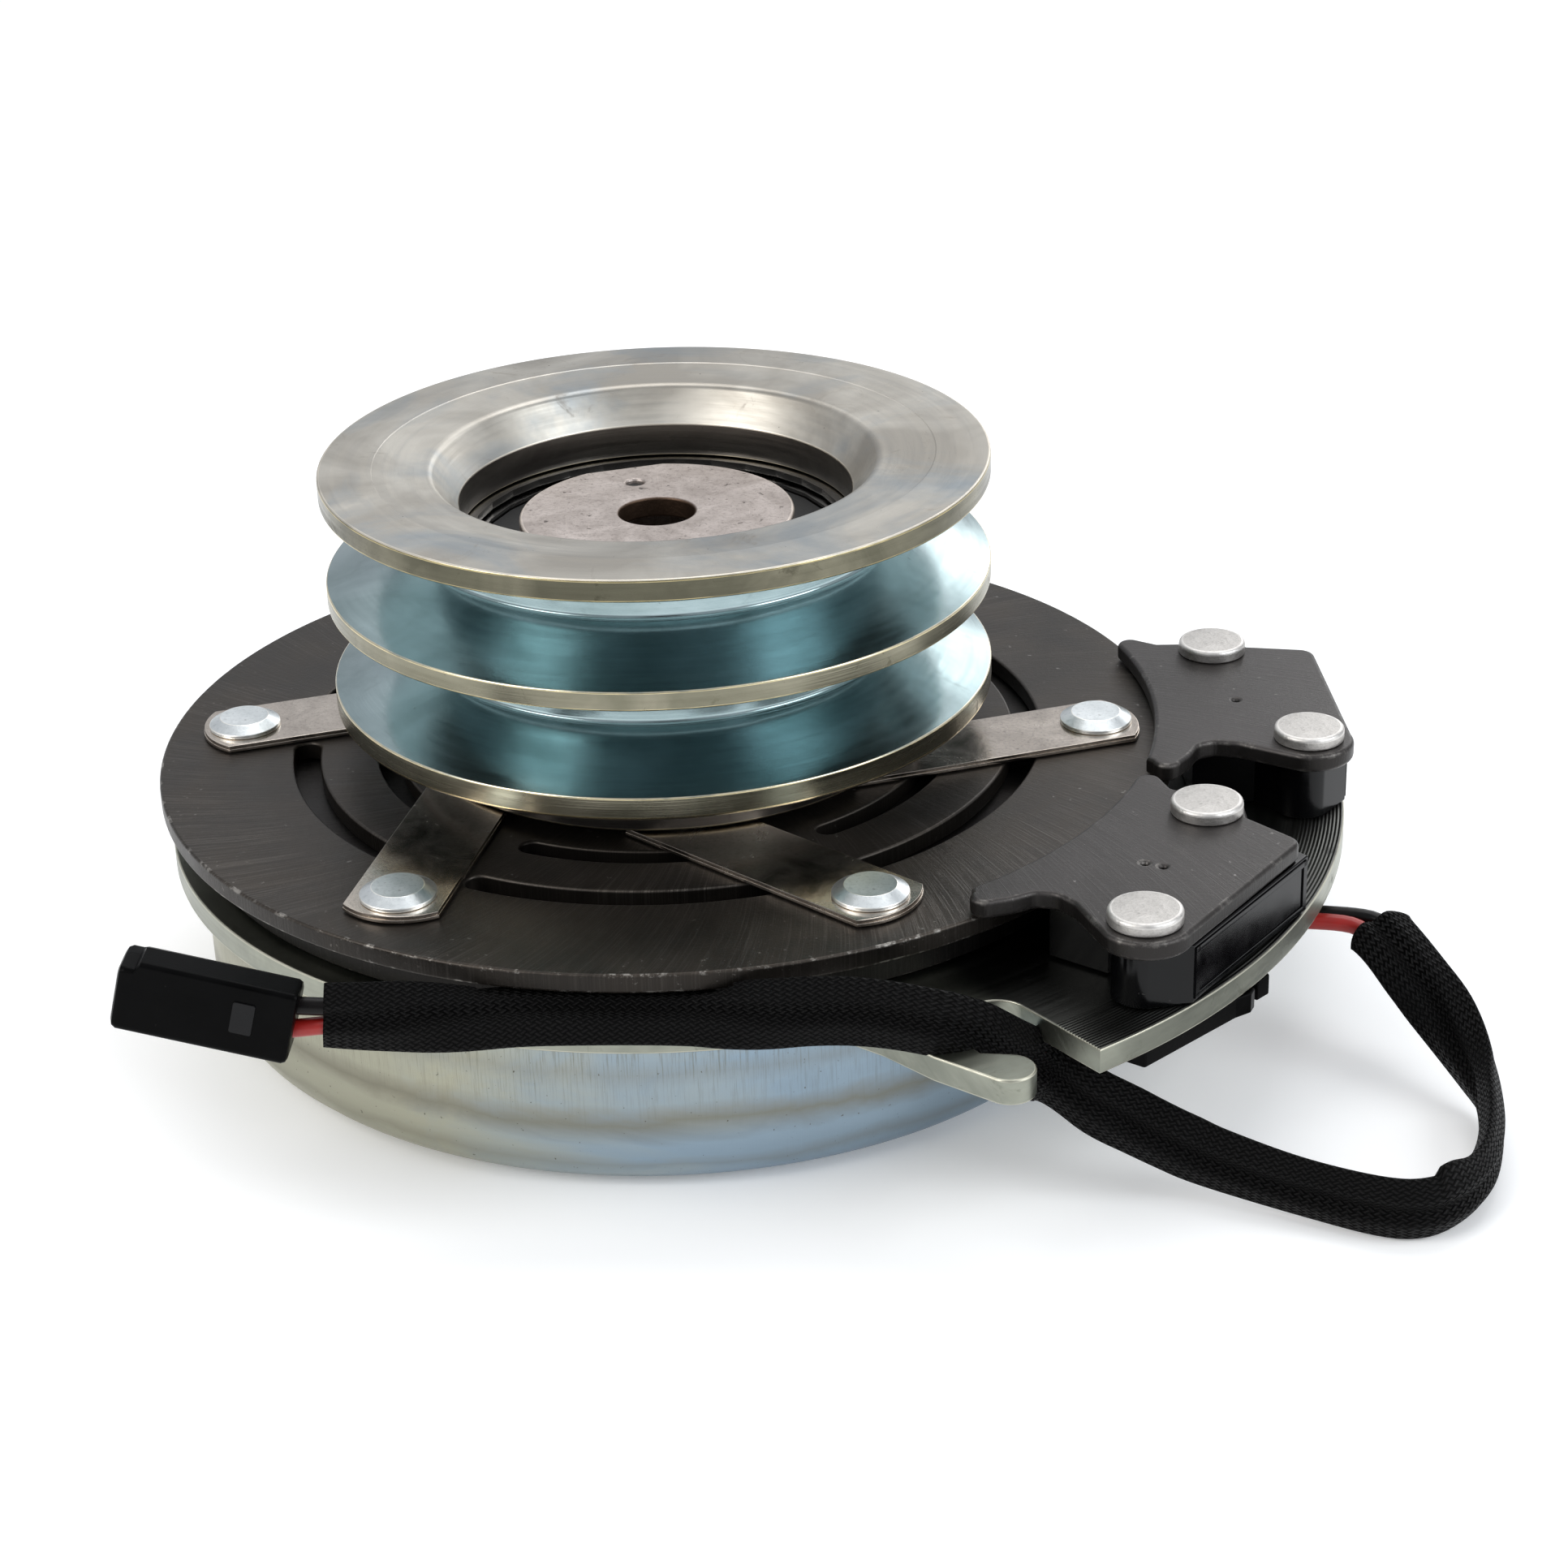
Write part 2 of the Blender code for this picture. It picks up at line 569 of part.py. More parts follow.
def brake_set(index, angle):
    """One brake pole with its housing, magnet, lower retainer and two rivets."""
    block_low, block_high = PLATE_TOP + GAP, POLE_BOTTOM - GAP
    pocket = (16.5, 23.0, 8.6)
    pocket_at = polar(106.0, 0.0)
    place = (*turn_points([(pocket_at[0], -1.2)], angle)[0], block_high - pocket[2] / 2.0 + 0.5)
    holes = [circle(p, RIVET_SHANK_R + GAP, 8) for p in POLE_RIVETS]
    body = flat(f"magnet_block_{index}", [turn_points(loop, angle) for loop in [block_outline()] + holes],
                block_low, block_high - block_low, GLOSS_BLACK, AXIS)
    cutter = box(f"magnet_pocket_{index}", (pocket[0], pocket[1], pocket[2] + 1.0), place, None,
                 AXIS, angle, CUTTERS)
    cut(body, hide_cutter(cutter))
    magnet_h = 7.4
    box(f"brake_magnet_{index}", (pocket[0] - 2 * GAP, pocket[1] - 2 * GAP, magnet_h),
        (place[0], place[1], block_high - magnet_h / 2.0 - 0.2), FERRITE, AXIS, angle)
    pole = flat(f"brake_pole_{index}", [turn_points(loop, angle) for loop in [pole_outline()] + holes],
                POLE_BOTTOM, POLE_T, PHOSPHATE, AXIS)
    soften(pole, 0.6, 1, 50.0)
    bar = [(111.5, -28.4), (120.1, -28.4), (124.4, -6.0), (125.6, -3.0), (125.2, -1.0), (114.0, -1.0),
           (114.0, 1.2), (124.5, 1.2), (125.0, 4.4), (123.6, 5.6), (111.5, 5.6)]
    flat(f"magnet_retainer_{index}", [turn_points(bar, angle)], PLATE_TOP - PLATE_T - GAP - RETAINER_T, RETAINER_T,
         MATTE_BLACK, AXIS)
    for k, place in enumerate(turn_points(POLE_RIVETS, angle)):
        top = POLE_TOP + GAP + BRAKE_HEAD_T
        profile = [(0.0, top), (5.4, top), (6.2, top - 0.7), (6.2, POLE_TOP + GAP),
                   (RIVET_SHANK_R, POLE_TOP + GAP), (RIVET_SHANK_R, PLATE_TOP - PLATE_T + 0.4),
                   (0.0, PLATE_TOP - PLATE_T + 0.4)]
        turned(f"brake_rivet_{2 * index - 1 + k}", profile, ALUMINIUM, AXIS, SMALL_SIDES, place)


# ---------------------------------------------------------------- harness

SLEEVE_ROUTE = (
    (132.5, -3.1, 23.5), (136.6, -6.9, 21.8), (140.9, -10.2, 18.6), (147.5, -14.6, 13.0),
    (153.2, -21.3, 8.6), (156.5, -28.1, 6.6), (158.4, -39.8, 5.8), (158.3, -50.0, 5.6),
    (155.5, -58.3, 5.6), (150.6, -64.1, 5.6), (143.3, -65.5, 5.6), (129.7, -63.1, 5.8),
    (115.9, -61.8, 8.0), (109.1, -62.2, 10.5), (102.4, -63.1, 13.8), (95.9, -65.0, 18.0),
    (89.2, -65.6, 22.8), (86.5, -69.0, 25.9), (84.0, -72.6, 29.3), (82.3, -75.5, 33.0),
    (79.4, -78.2, 37.8), (75.9, -80.8, 39.2), (73.0, -82.2, 39.8), (66.4, -82.9, 40.1),
    (59.8, -83.4, 40.2), (53.4, -84.8, 40.1), (47.2, -86.9, 39.9), (40.8, -88.2, 39.5),
    (34.1, -88.8, 39.0), (21.0, -91.4, 38.5), (8.3, -95.0, 38.5), (-0.7, -98.8, 38.9),
    (-9.9, -102.1, 39.8), (-16.1, -104.3, 40.2), (-22.3, -106.6, 40.8),
)


def on_axis(point):
    """A point given from the clutch axis, moved to the object's own origin."""
    return Vector(point) + Vector((AXIS_X, 0.0, 0.0))


def harness():
    """Two wires from the shell, a sleeve round them, and two wires on into the connector."""
    route = [on_axis(point) for point in SLEEVE_ROUTE]
    tube("harness_sleeve", smooth_path(route, 6.8), SLEEVE_R, BRAID)
    outlet = on_axis((*polar(SHELL_R + 5.0, LEAD_ANGLE), LEAD_Z))
    end = on_axis(PLUG_END)
    ahead = (route[1] - route[0]).normalized()
    left = Vector((-ahead.y, ahead.x, 0.0)).normalized()
    for colour, side, lift, material in (("red", -2.0, -2.2, RED), ("black", 2.0, 2.2, BLACK_WIRE)):
        first = outlet + Vector((0.0, side, 0.0))
        last = route[0] - ahead * 1.6 + left * side * 1.4
        middle = first.lerp(last, 0.5) + Vector((0.0, 0.0, -0.3))
        tube(f"lead_wire_{colour}", smooth_path([first, middle, last], 6.0), WIRE_R, material)
        first = route[-1] + Vector((-0.95, -0.25, 0.1 + lift * 0.75))
        last = end + Vector(PLUG_DIRECTION) * 0.4 + Vector((0.0, 0.0, lift))
        tube(f"plug_wire_{colour}", [first, first.lerp(last, 0.5), last], WIRE_R, material)


def connector():
    """Two-way connector: a shell open at the mating end, with a wire seal at the other."""
    length, depth, height = PLUG_SIZE
    inner_depth, inner_height = depth - 2.6, height - 2.8
    frame = bpy.data.objects.new("connector_frame", None)
    PARTS.objects.link(frame)
    frame.location = on_axis(PLUG_END) * MM
    frame.rotation_mode = "QUATERNION"
    frame.rotation_quaternion = Vector(PLUG_DIRECTION).to_track_quat("X", "Z")
    shell = box("connector_housing", (length, depth, height), (length / 2.0, 0.0, 0.0), MATTE_BLACK, frame)
    soften(shell, 1.4, 2)
    mouth = box("connector_mouth", (20.0, inner_depth, inner_height), (length - 9.0, 0.0, 0.0), None,
                frame, 0.0, CUTTERS)
    pocket = box("connector_pocket", (7.0, inner_depth, inner_height), (1.5, 0.0, 0.0), None, frame,
                 0.0, CUTTERS)
    cut(shell, hide_cutter(mouth))
    cut(shell, hide_cutter(pocket))
    seal = box("connector_seal", (3.0, inner_depth - 0.8, inner_height - 0.8), (3.3, 0.0, 0.0), RUBBER, frame)
    soften(seal, 0.8)


# ---------------------------------------------------------------- build

clear_scene()
PARTS = make_collection("electromagnetic_clutch")
CUTTERS = make_collection("cutters")

ZINC = look("zinc_plate", (0.62, 0.63, 0.58), 0.35, 1.0)
ZINC_BLUE = look("zinc_pulley", (0.62, 0.66, 0.66), 0.25, 1.0)
STEEL = look("bearing_steel", (0.55, 0.55, 0.56), 0.25, 1.0)
STAINLESS = look("spring_steel", (0.42, 0.39, 0.36), 0.3, 1.0)
PHOSPHATE = look("dark_steel", (0.09, 0.08, 0.08), 0.5, 0.7)
DARK_STEEL = look("rotor_steel", (0.12, 0.11, 0.11), 0.5, 0.9)
SINTER = look("sintered_steel", (0.33, 0.30, 0.30), 0.6, 0.8)
RIVET_ZINC = look("rivet_zinc", (0.66, 0.68, 0.68), 0.25, 1.0)
ALUMINIUM = look("rivet_bright", (0.72, 0.71, 0.70), 0.4, 1.0)
BRASS = look("brass", (0.72, 0.53, 0.22), 0.35, 1.0)
COPPER = look("copper", (0.72, 0.34, 0.17), 0.35, 1.0)
GLOSS_BLACK = look("gloss_black", (0.01, 0.01, 0.012), 0.15, 0.0)
MATTE_BLACK = look("matte_black", (0.02, 0.02, 0.02), 0.5, 0.0)
BOBBIN = look("bobbin_plastic", (0.03, 0.03, 0.03), 0.5, 0.0)
FERRITE = look("ferrite", (0.05, 0.05, 0.055), 0.6, 0.2)
RUBBER = look("rubber", (0.02, 0.02, 0.02), 0.7, 0.0)
BRAID = look("braid", (0.02, 0.02, 0.02), 0.8, 0.0)
RED = look("red_insulation", (0.5, 0.02, 0.015), 0.35, 0.0)
BLACK_WIRE = look("black_insulation", (0.015, 0.015, 0.015), 0.4, 0.0)

AXIS = make_axis("field_axis")
ROTOR = make_axis("rotor_axis")
PULLEY = make_axis("pulley_axis")
ARMATURE = make_axis("armature_axis")

field_shell()
lead_grommet()
coil()
field_plate()
bearing("field_bearing", HUB_LOW_R + GAP, 37.5, 3.6, 19.6, ROTOR, AXIS)
rotor_hub()
rotor()
hub_end_disc()
hub_spacer()
pulley()
pulley_snap_ring()
bearing("pulley_bearing", HUB_TOP_R + GAP, PULLEY_BORE_R - GAP, 68.3, 85.2, ROTOR, PULLEY)
leaf_springs()
armature_plate()
rivets()
for number, pole_angle in enumerate(POLE_ANGLES, start=1):
    brake_set(number, pole_angle)
harness()
connector()
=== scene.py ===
"""Looks of the electromagnetic clutch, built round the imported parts.

Shapes are given in millimetres from the clutch axis, z from the floor, and scaled to metres.
"""
import json
import math

import bpy
import numpy as np
from mathutils import Matrix, Vector, geometry

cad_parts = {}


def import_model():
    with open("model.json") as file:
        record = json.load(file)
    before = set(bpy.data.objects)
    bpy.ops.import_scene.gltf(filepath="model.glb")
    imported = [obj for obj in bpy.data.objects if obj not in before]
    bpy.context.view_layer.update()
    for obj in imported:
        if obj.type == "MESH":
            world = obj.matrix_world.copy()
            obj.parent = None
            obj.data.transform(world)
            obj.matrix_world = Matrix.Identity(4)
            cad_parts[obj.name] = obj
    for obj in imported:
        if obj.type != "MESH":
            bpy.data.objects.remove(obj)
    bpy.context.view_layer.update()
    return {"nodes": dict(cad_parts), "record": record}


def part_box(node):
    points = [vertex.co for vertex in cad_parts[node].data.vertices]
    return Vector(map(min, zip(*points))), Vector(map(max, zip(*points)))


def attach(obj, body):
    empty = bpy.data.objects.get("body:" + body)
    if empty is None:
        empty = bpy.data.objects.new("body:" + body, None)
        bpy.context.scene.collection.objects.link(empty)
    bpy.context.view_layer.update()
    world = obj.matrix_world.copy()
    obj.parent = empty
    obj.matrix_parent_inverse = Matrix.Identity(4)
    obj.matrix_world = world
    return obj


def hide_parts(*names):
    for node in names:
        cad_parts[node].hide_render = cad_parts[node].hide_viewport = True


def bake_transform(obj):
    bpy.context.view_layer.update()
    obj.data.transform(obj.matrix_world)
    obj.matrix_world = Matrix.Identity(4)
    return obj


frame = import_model()

MM = 0.001
SPIN = next(j for j in frame["record"]["behaviour"]["joints"] if j["name"] == "rotor_spin")
AXIS = Vector((SPIN["pos_m"][0], SPIN["pos_m"][1], 0.0))
LIP = 0.4                       # usual rounding of a machined edge
WORN = 1.2                      # roundings above this get no light edge colour (edge rubbing and painted highlight)


def low(node, axis=2):
    return (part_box(node)[0][axis] - AXIS[axis]) / MM


def high(node, axis=2):
    return (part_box(node)[1][axis] - AXIS[axis]) / MM


def world(point):
    """A point in millimetres from the clutch axis, as metres in the row frame."""
    return AXIS + Vector(point) * MM


# ---------------------------------------------------------------- shapes

def polar(radius, angle):
    return (radius * math.cos(math.radians(angle)), radius * math.sin(math.radians(angle)))


def arc(centre, radius, start, end, count):
    step = (end - start) / (count - 1)
    return [(centre[0] + polar(radius, start + step * i)[0], centre[1] + polar(radius, start + step * i)[1])
            for i in range(count)]


def circle(centre, radius, count, phase=0.0):
    return arc(centre, radius, phase, phase + 360.0 - 360.0 / count, count)


def turn_points(points, angle, offset=(0.0, 0.0)):
    c, s = math.cos(math.radians(angle)), math.sin(math.radians(angle))
    return [(c * x - s * y + offset[0], s * x + c * y + offset[1]) for x, y in points]


def rounded(points, closed=True, steps=5):
    """Corners given as (x, y, radius) become short curves; returns points and each one's corner."""
    out, flags, n = [], [], len(points)
    for i, corner in enumerate(points):
        x, y, radius = corner if len(corner) == 3 else (*corner, 0.0)
        here = Vector((x, y))
        if radius <= 0.0 or (not closed and i in (0, n - 1)):
            out.append((x, y))
            flags.append(0)
            continue
        before = Vector(points[i - 1][:2]) - here
        after = Vector(points[(i + 1) % n][:2]) - here
        half = before.angle(after) / 2.0
        reach = min(radius / max(math.tan(half), 0.01), 0.48 * before.length, 0.48 * after.length)
        a, b = here + before.normalized() * reach, here + after.normalized() * reach
        for k in range(steps + 1):
            t = k / steps
            out.append(tuple(a * (1 - t) ** 2 + here * (2 * t * (1 - t)) + b * t * t))
            flags.append(i + 1)
    return out, flags


def make(name, verts, faces, materials, body, nodes=(), paint=None, edge_wear_and_highlight=None, at=AXIS, angle=30.0):
    """A mesh piece. verts are in metres from at; paint and wear are one value for each face."""
    mesh = bpy.data.meshes.new(name)
    mesh.from_pydata([tuple(v) for v in verts], [], faces)
    mesh.validate()
    for material in materials:
        mesh.materials.append(material)
    if paint is not None and len(paint) == len(mesh.polygons):
        mesh.polygons.foreach_set("material_index", np.array(paint, np.int32))
    if edge_wear_and_highlight is not None and len(edge_wear_and_highlight) == len(mesh.polygons):
        mesh.attributes.new("edge_wear_and_highlight", "FLOAT", "FACE").data.foreach_set("value", np.array(edge_wear_and_highlight, np.float32))
    mesh.shade_smooth()
    mesh.set_sharp_from_angle(angle=math.radians(angle))
    obj = bpy.data.objects.new(name, mesh)
    bpy.context.scene.collection.objects.link(obj)
    obj.location = at
    weigh = obj.modifiers.new("normals", "WEIGHTED_NORMAL")
    weigh.keep_sharp = True
    weigh.weight = 90
    if body:
        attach(obj, body)
    if nodes:
        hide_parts(*nodes)
    return obj


def lathe(name, profile, materials, body, nodes=(), sides=192, closed=True, centre=(0.0, 0.0), choose=None,
          lip=LIP):
    """Profile of (radius, z[, rounding]) turned about Z, running down its outer side."""
    profile = [p if len(p) == 3 else (*p, lip) for p in profile]
    points, flags = rounded(profile, closed)
    n = len(points)
    angles = np.arange(sides) * 2 * math.pi / sides
    ring = np.array(points)
    verts = np.stack([np.outer(np.cos(angles), ring[:, 0]), np.outer(np.sin(angles), ring[:, 0]),
                      np.tile(ring[:, 1], (sides, 1))], 2).reshape(-1, 3)
    faces, edge_wear_and_highlight, paint = [], [], []
    for s in range(sides):
        t = (s + 1) % sides
        for i in range(n if closed else n - 1):
            j = (i + 1) % n
            if points[i][0] < 1e-6 and points[j][0] < 1e-6:
                continue
            face = [s * n + i, s * n + j, t * n + j, t * n + i]
            if points[i][0] < 1e-6:
                face = [i, s * n + j, t * n + j]
            elif points[j][0] < 1e-6:
                face = [s * n + i, j, t * n + i]
            faces.append(face)
            edge_wear_and_highlight.append(float(flags[i] > 0 and flags[i] == flags[j] and profile[flags[i] - 1][2] < WORN))
            middle = ((points[i][0] + points[j][0]) / 2.0, (points[i][1] + points[j][1]) / 2.0)
            paint.append(choose(*middle) if choose else 0)
    at = world((centre[0], centre[1], 0.0))
    return make(name, verts * MM, faces, materials, body, nodes, paint, edge_wear_and_highlight, at)


def area(loop):
    p = np.array(loop)
    q = np.roll(p, -1, 0)
    return float((p[:, 0] * q[:, 1] - q[:, 0] * p[:, 1]).sum() / 2.0)


def inset(loop, distance):
    """The loop moved to its left, which is into the plate."""
    before, after = loop - np.roll(loop, 1, 0), np.roll(loop, -1, 0) - loop
    before /= np.linalg.norm(before, axis=1)[:, None]
    after /= np.linalg.norm(after, axis=1)[:, None]
    a = np.stack([-before[:, 1], before[:, 0]], 1)
    b = np.stack([-after[:, 1], after[:, 0]], 1)
    return loop + (a + b) / (1.0 + (a * b).sum(1)).clip(0.3)[:, None] * distance


def slab_mesh(loops, bottom, top, edge=0.5, steps=4, worn=99):
    """Vertices, faces and wear of a plate with rounded edges; the first loop is its outline.

    Only the first few loops, as many as worn says, get the light edge colour (rubbing and painted highlight).
    """
    loops = [np.array(loop if (area(loop) > 0) == (i == 0) else loop[::-1], float)
             for i, loop in enumerate(loops)]
    bend = [math.pi / 2 * k / steps for k in range(steps + 1)]
    levels = [(edge * (1 - math.sin(a)), bottom + edge * (1 - math.cos(a))) for a in bend]
    levels += [(edge * (1 - math.cos(a)), top - edge * (1 - math.sin(a))) for a in bend]
    verts, faces, edge_wear_and_highlight, caps = [], [], [], ([], [])
    for number, loop in enumerate(loops):
        n, first = len(loop), len(verts)
        for distance, z in levels:
            verts += [(x, y, z) for x, y in inset(loop, distance)]
        for k in range(len(levels) - 1):
            a, b = first + k * n, first + (k + 1) * n
            faces += [[a + i, a + (i + 1) % n, b + (i + 1) % n, b + i] for i in range(n)]
            edge_wear_and_highlight += [float(k != steps and number < worn)] * n
        caps[0].append((first, n))
        caps[1].append((first + (len(levels) - 1) * n, n))
    for side, cap in enumerate(caps):
        rings = [[Vector((*verts[first + i][:2], 0.0)) for i in range(n)] for first, n in cap]
        index = [first + i for first, n in cap for i in range(n)]
        for tri in geometry.tessellate_polygon(rings):
            ids = [index[t] for t in tri]
            p, q, r = (verts[i] for i in ids)
            up = (q[0] - p[0]) * (r[1] - p[1]) - (q[1] - p[1]) * (r[0] - p[0]) > 0
            faces.append(ids if up == (side == 1) else ids[::-1])
            edge_wear_and_highlight.append(0.0)
    return verts, faces, edge_wear_and_highlight


def slab(name, loops, bottom, top, materials, body, nodes=(), edge=0.5, steps=4, worn=99):
    verts, faces, edge_wear_and_highlight = slab_mesh(loops, bottom, top, edge, steps, worn)
    return make(name, np.array(verts) * MM, faces, materials, body, nodes, None, edge_wear_and_highlight)


def outline(corners, steps=6):
    return rounded(corners, True, steps)[0]


def smooth_path(route, spacing):
    """Even points along a smooth curve through the route's points; rows may hold extra values."""
    rows = np.array(route, float)
    ends = np.vstack([rows[0], rows, rows[-1]])
    fine = []
    for i in range(1, len(ends) - 2):
        p0, p1, p2, p3 = ends[i - 1:i + 3]
        for k in range(12):
            t = k / 12.0
            fine.append(0.5 * (2 * p1 + (p2 - p0) * t + (2 * p0 - 5 * p1 + 4 * p2 - p3) * t ** 2
                               + (3 * p1 - p0 - 3 * p2 + p3) * t ** 3))
    fine = np.array(fine + [rows[-1]])
    along = np.concatenate([[0.0], np.cumsum(np.linalg.norm(np.diff(fine[:, :3], axis=0), axis=1))])
    want = np.linspace(0.0, along[-1], max(2, round(along[-1] / spacing)) + 1)
    return np.stack([np.interp(want, along, fine[:, k]) for k in range(fine.shape[1])], 1), want


# ---------------------------------------------------------------- materials

def srgb(text):
    parts = [int(text[i:i + 2], 16) / 255.0 for i in (0, 2, 4)]
    return tuple(c / 12.92 if c <= 0.04045 else ((c + 0.055) / 1.055) ** 2.4 for c in parts) + (1.0,)


class Graph:
    """A node material, written as a chain of small calls."""

    def __init__(self, name):
        self.mat = bpy.data.materials.new(name)
        self.mat.use_nodes = True
        self.tree = self.mat.node_tree
        self.shader = self.tree.nodes["Principled BSDF"]
        self.place = self.add("ShaderNodeTexCoord").outputs["Object"]

    def add(self, kind, values=(), **props):
        node = self.tree.nodes.new(kind)
        for key, value in props.items():
            setattr(node, key, value)
        for key, value in dict(values).items():
            self.put(node.inputs[key], value)
        return node

    def put(self, socket, value):
        if isinstance(value, bpy.types.NodeSocket):
            self.tree.links.new(value, socket)
        else:
            socket.default_value = value

    def math(self, op, a, b=0.0, c=0.0):
        return self.add("ShaderNodeMath", {0: a, 1: b, 2: c}, operation=op).outputs[0]

    def noise(self, vector=None, scale=100.0, detail=3.0, rough=0.55, warp=0.0):
        values = {"Vector": self.place if vector is None else vector, "Scale": scale, "Detail": detail,
                  "Roughness": rough, "Distortion": warp}
        return self.add("ShaderNodeTexNoise", values).outputs[0]

    def span(self, value, a, b, c=0.0, d=1.0):
        return self.add("ShaderNodeMapRange", {0: value, 1: a, 2: b, 3: c, 4: d}).outputs[0]

    def mix(self, fac, a, b, blend="MIX"):
        node = self.add("ShaderNodeMix", {0: fac, 6: a, 7: b}, data_type="RGBA", blend_type=blend)
        return node.outputs[2]

    def scaled(self, sx, sy, sz, vector=None):
        return self.add("ShaderNodeVectorMath", {0: self.place if vector is None else vector,
                                                 1: (sx, sy, sz)}, operation="MULTIPLY").outputs[0]

    def round_place(self):
        """Radius in metres, angle in radians and height, about the piece's own Z axis."""
        parts = self.add("ShaderNodeSeparateXYZ", {0: self.place}).outputs
        radius = self.math("SQRT", self.math("ADD", self.math("MULTIPLY", parts[0], parts[0]),
                                             self.math("MULTIPLY", parts[1], parts[1])))
        return radius, self.math("ARCTAN2", parts[1], parts[0]), parts[2]

    def turning(self, across, along):
        """A place whose first number rises across the turning lines; the others change slowly along them."""
        radius, _, z = self.round_place()
        parts = self.add("ShaderNodeSeparateXYZ", {0: self.scaled(along, along, 1.0)}).outputs
        return self.join(self.math("MULTIPLY", self.math("ADD", radius, z), across), parts[0], parts[1])

    def join(self, x, y, z):
        return self.add("ShaderNodeCombineXYZ", {0: x, 1: y, 2: z}).outputs[0]

    def bump(self, height, strength, distance=0.001, normal=None):
        values = {"Height": height, "Strength": strength, "Distance": distance}
        if normal is not None:
            values["Normal"] = normal
        return self.add("ShaderNodeBump", values).outputs[0]

    def edge_wear_and_highlight(self):
        return self.add("ShaderNodeAttribute", attribute_name="edge_wear_and_highlight").outputs["Fac"]

    def done(self, **values):
        for key, value in values.items():
            self.put(self.shader.inputs[key.replace("_", " ")], value)
        return self.mat


def turned_metal(name, dull, fair, stain, edge, rough=0.27, lines=1.0, spin=0.55, blotch=0.5, shade=None,
                 tint=None):
    """Plated or bare steel: fine turning lines, soft blotches, stains, light edges (worn, and painted
    highlight).

    A tint shows in a few broad patches. Level faces more than shade metres along X are painted dark
    as shade under the brake parts, and grooved near the rim.
    """
    g = Graph(name)
    wide = g.noise(g.scaled(1.0, 1.0, 1.6), 38.0, 4.0, 0.6, 0.6)
    colour = g.mix(g.span(wide, 0.36, 0.64), srgb(dull), srgb(fair))
    if tint:
        colour = g.mix(g.span(g.noise(None, 24.0, 5.0, 0.6, 1.0), 0.48, 0.66, 0.0, 0.8), colour, srgb(tint))
    streak = g.noise(g.turning(900.0, 27.0), 1.0, 3.0, 0.6)
    colour = g.mix(g.span(streak, 0.35, 0.75, 0.0, 0.35 * min(lines, 1.0)), colour, srgb(stain))
    patch = g.noise(None, 95.0, 6.0, 0.72, 1.2)
    patch = g.span(patch, 0.60, 0.74, 0.0, blotch)
    colour = g.mix(patch, colour, srgb(stain))
    pits = g.span(g.noise(None, 900.0, 2.0, 0.5), 0.77, 0.80)
    colour = g.mix(pits, colour, srgb("3a3733"))
    # Light edge colour on the small roundings: partly edge rubbing, partly a painted highlight along each
    # edge.
    worn_and_highlit_edge = g.math("MULTIPLY", g.edge_wear_and_highlight(), g.span(g.noise(None, 160.0, 3.0), 0.30, 0.55, 0.35, 1.0))
    colour = g.mix(worn_and_highlit_edge, colour, srgb(edge))
    fine = g.noise(g.turning(5200.0, 37.0), 1.0, 2.0, 0.5)
    normal = g.bump(fine, 0.12 * lines, 0.0002)
    if shade:
        radius = g.round_place()[0]
        parts = g.add("ShaderNodeSeparateXYZ", {0: g.place}).outputs
        level = g.add("ShaderNodeSeparateXYZ", {0: g.add("ShaderNodeTexCoord").outputs["Normal"]}).outputs[2]
        # Painted shade: level plate faces beyond shade along X, under the brake parts, are coloured dark
        # grey.
        painted_shade_zone = g.math("MULTIPLY", g.span(parts[0], shade - 0.02, shade),
                      g.span(g.math("ADD", parts[0], parts[1]), 0.006, 0.016))
        dark = g.math("MULTIPLY", painted_shade_zone, g.span(level, 0.7, 0.95))
        colour = g.mix(g.math("MULTIPLY", dark, 0.85), colour, srgb("3c3c3d"))
        grooves = g.math("SINE", g.math("MULTIPLY", radius, 9500.0))
        grooves = g.math("MULTIPLY", grooves, g.math("MULTIPLY", dark, g.span(radius, 0.114, 0.118)))
        normal = g.bump(grooves, 0.35, 0.0002, normal)
    shine = g.math("ADD", g.span(streak, 0.3, 0.7, rough - 0.05, rough + 0.07),
                   g.math("MULTIPLY", patch, 0.25))
    g.put(g.shader.inputs["Anisotropic"], spin)
    round_lines = g.add("ShaderNodeTangent", direction_type="RADIAL", axis="Z").outputs[0]
    g.put(g.shader.inputs["Tangent"], round_lines)
    return g.done(Base_Color=colour, Roughness=shine, Metallic=1.0, Normal=normal)


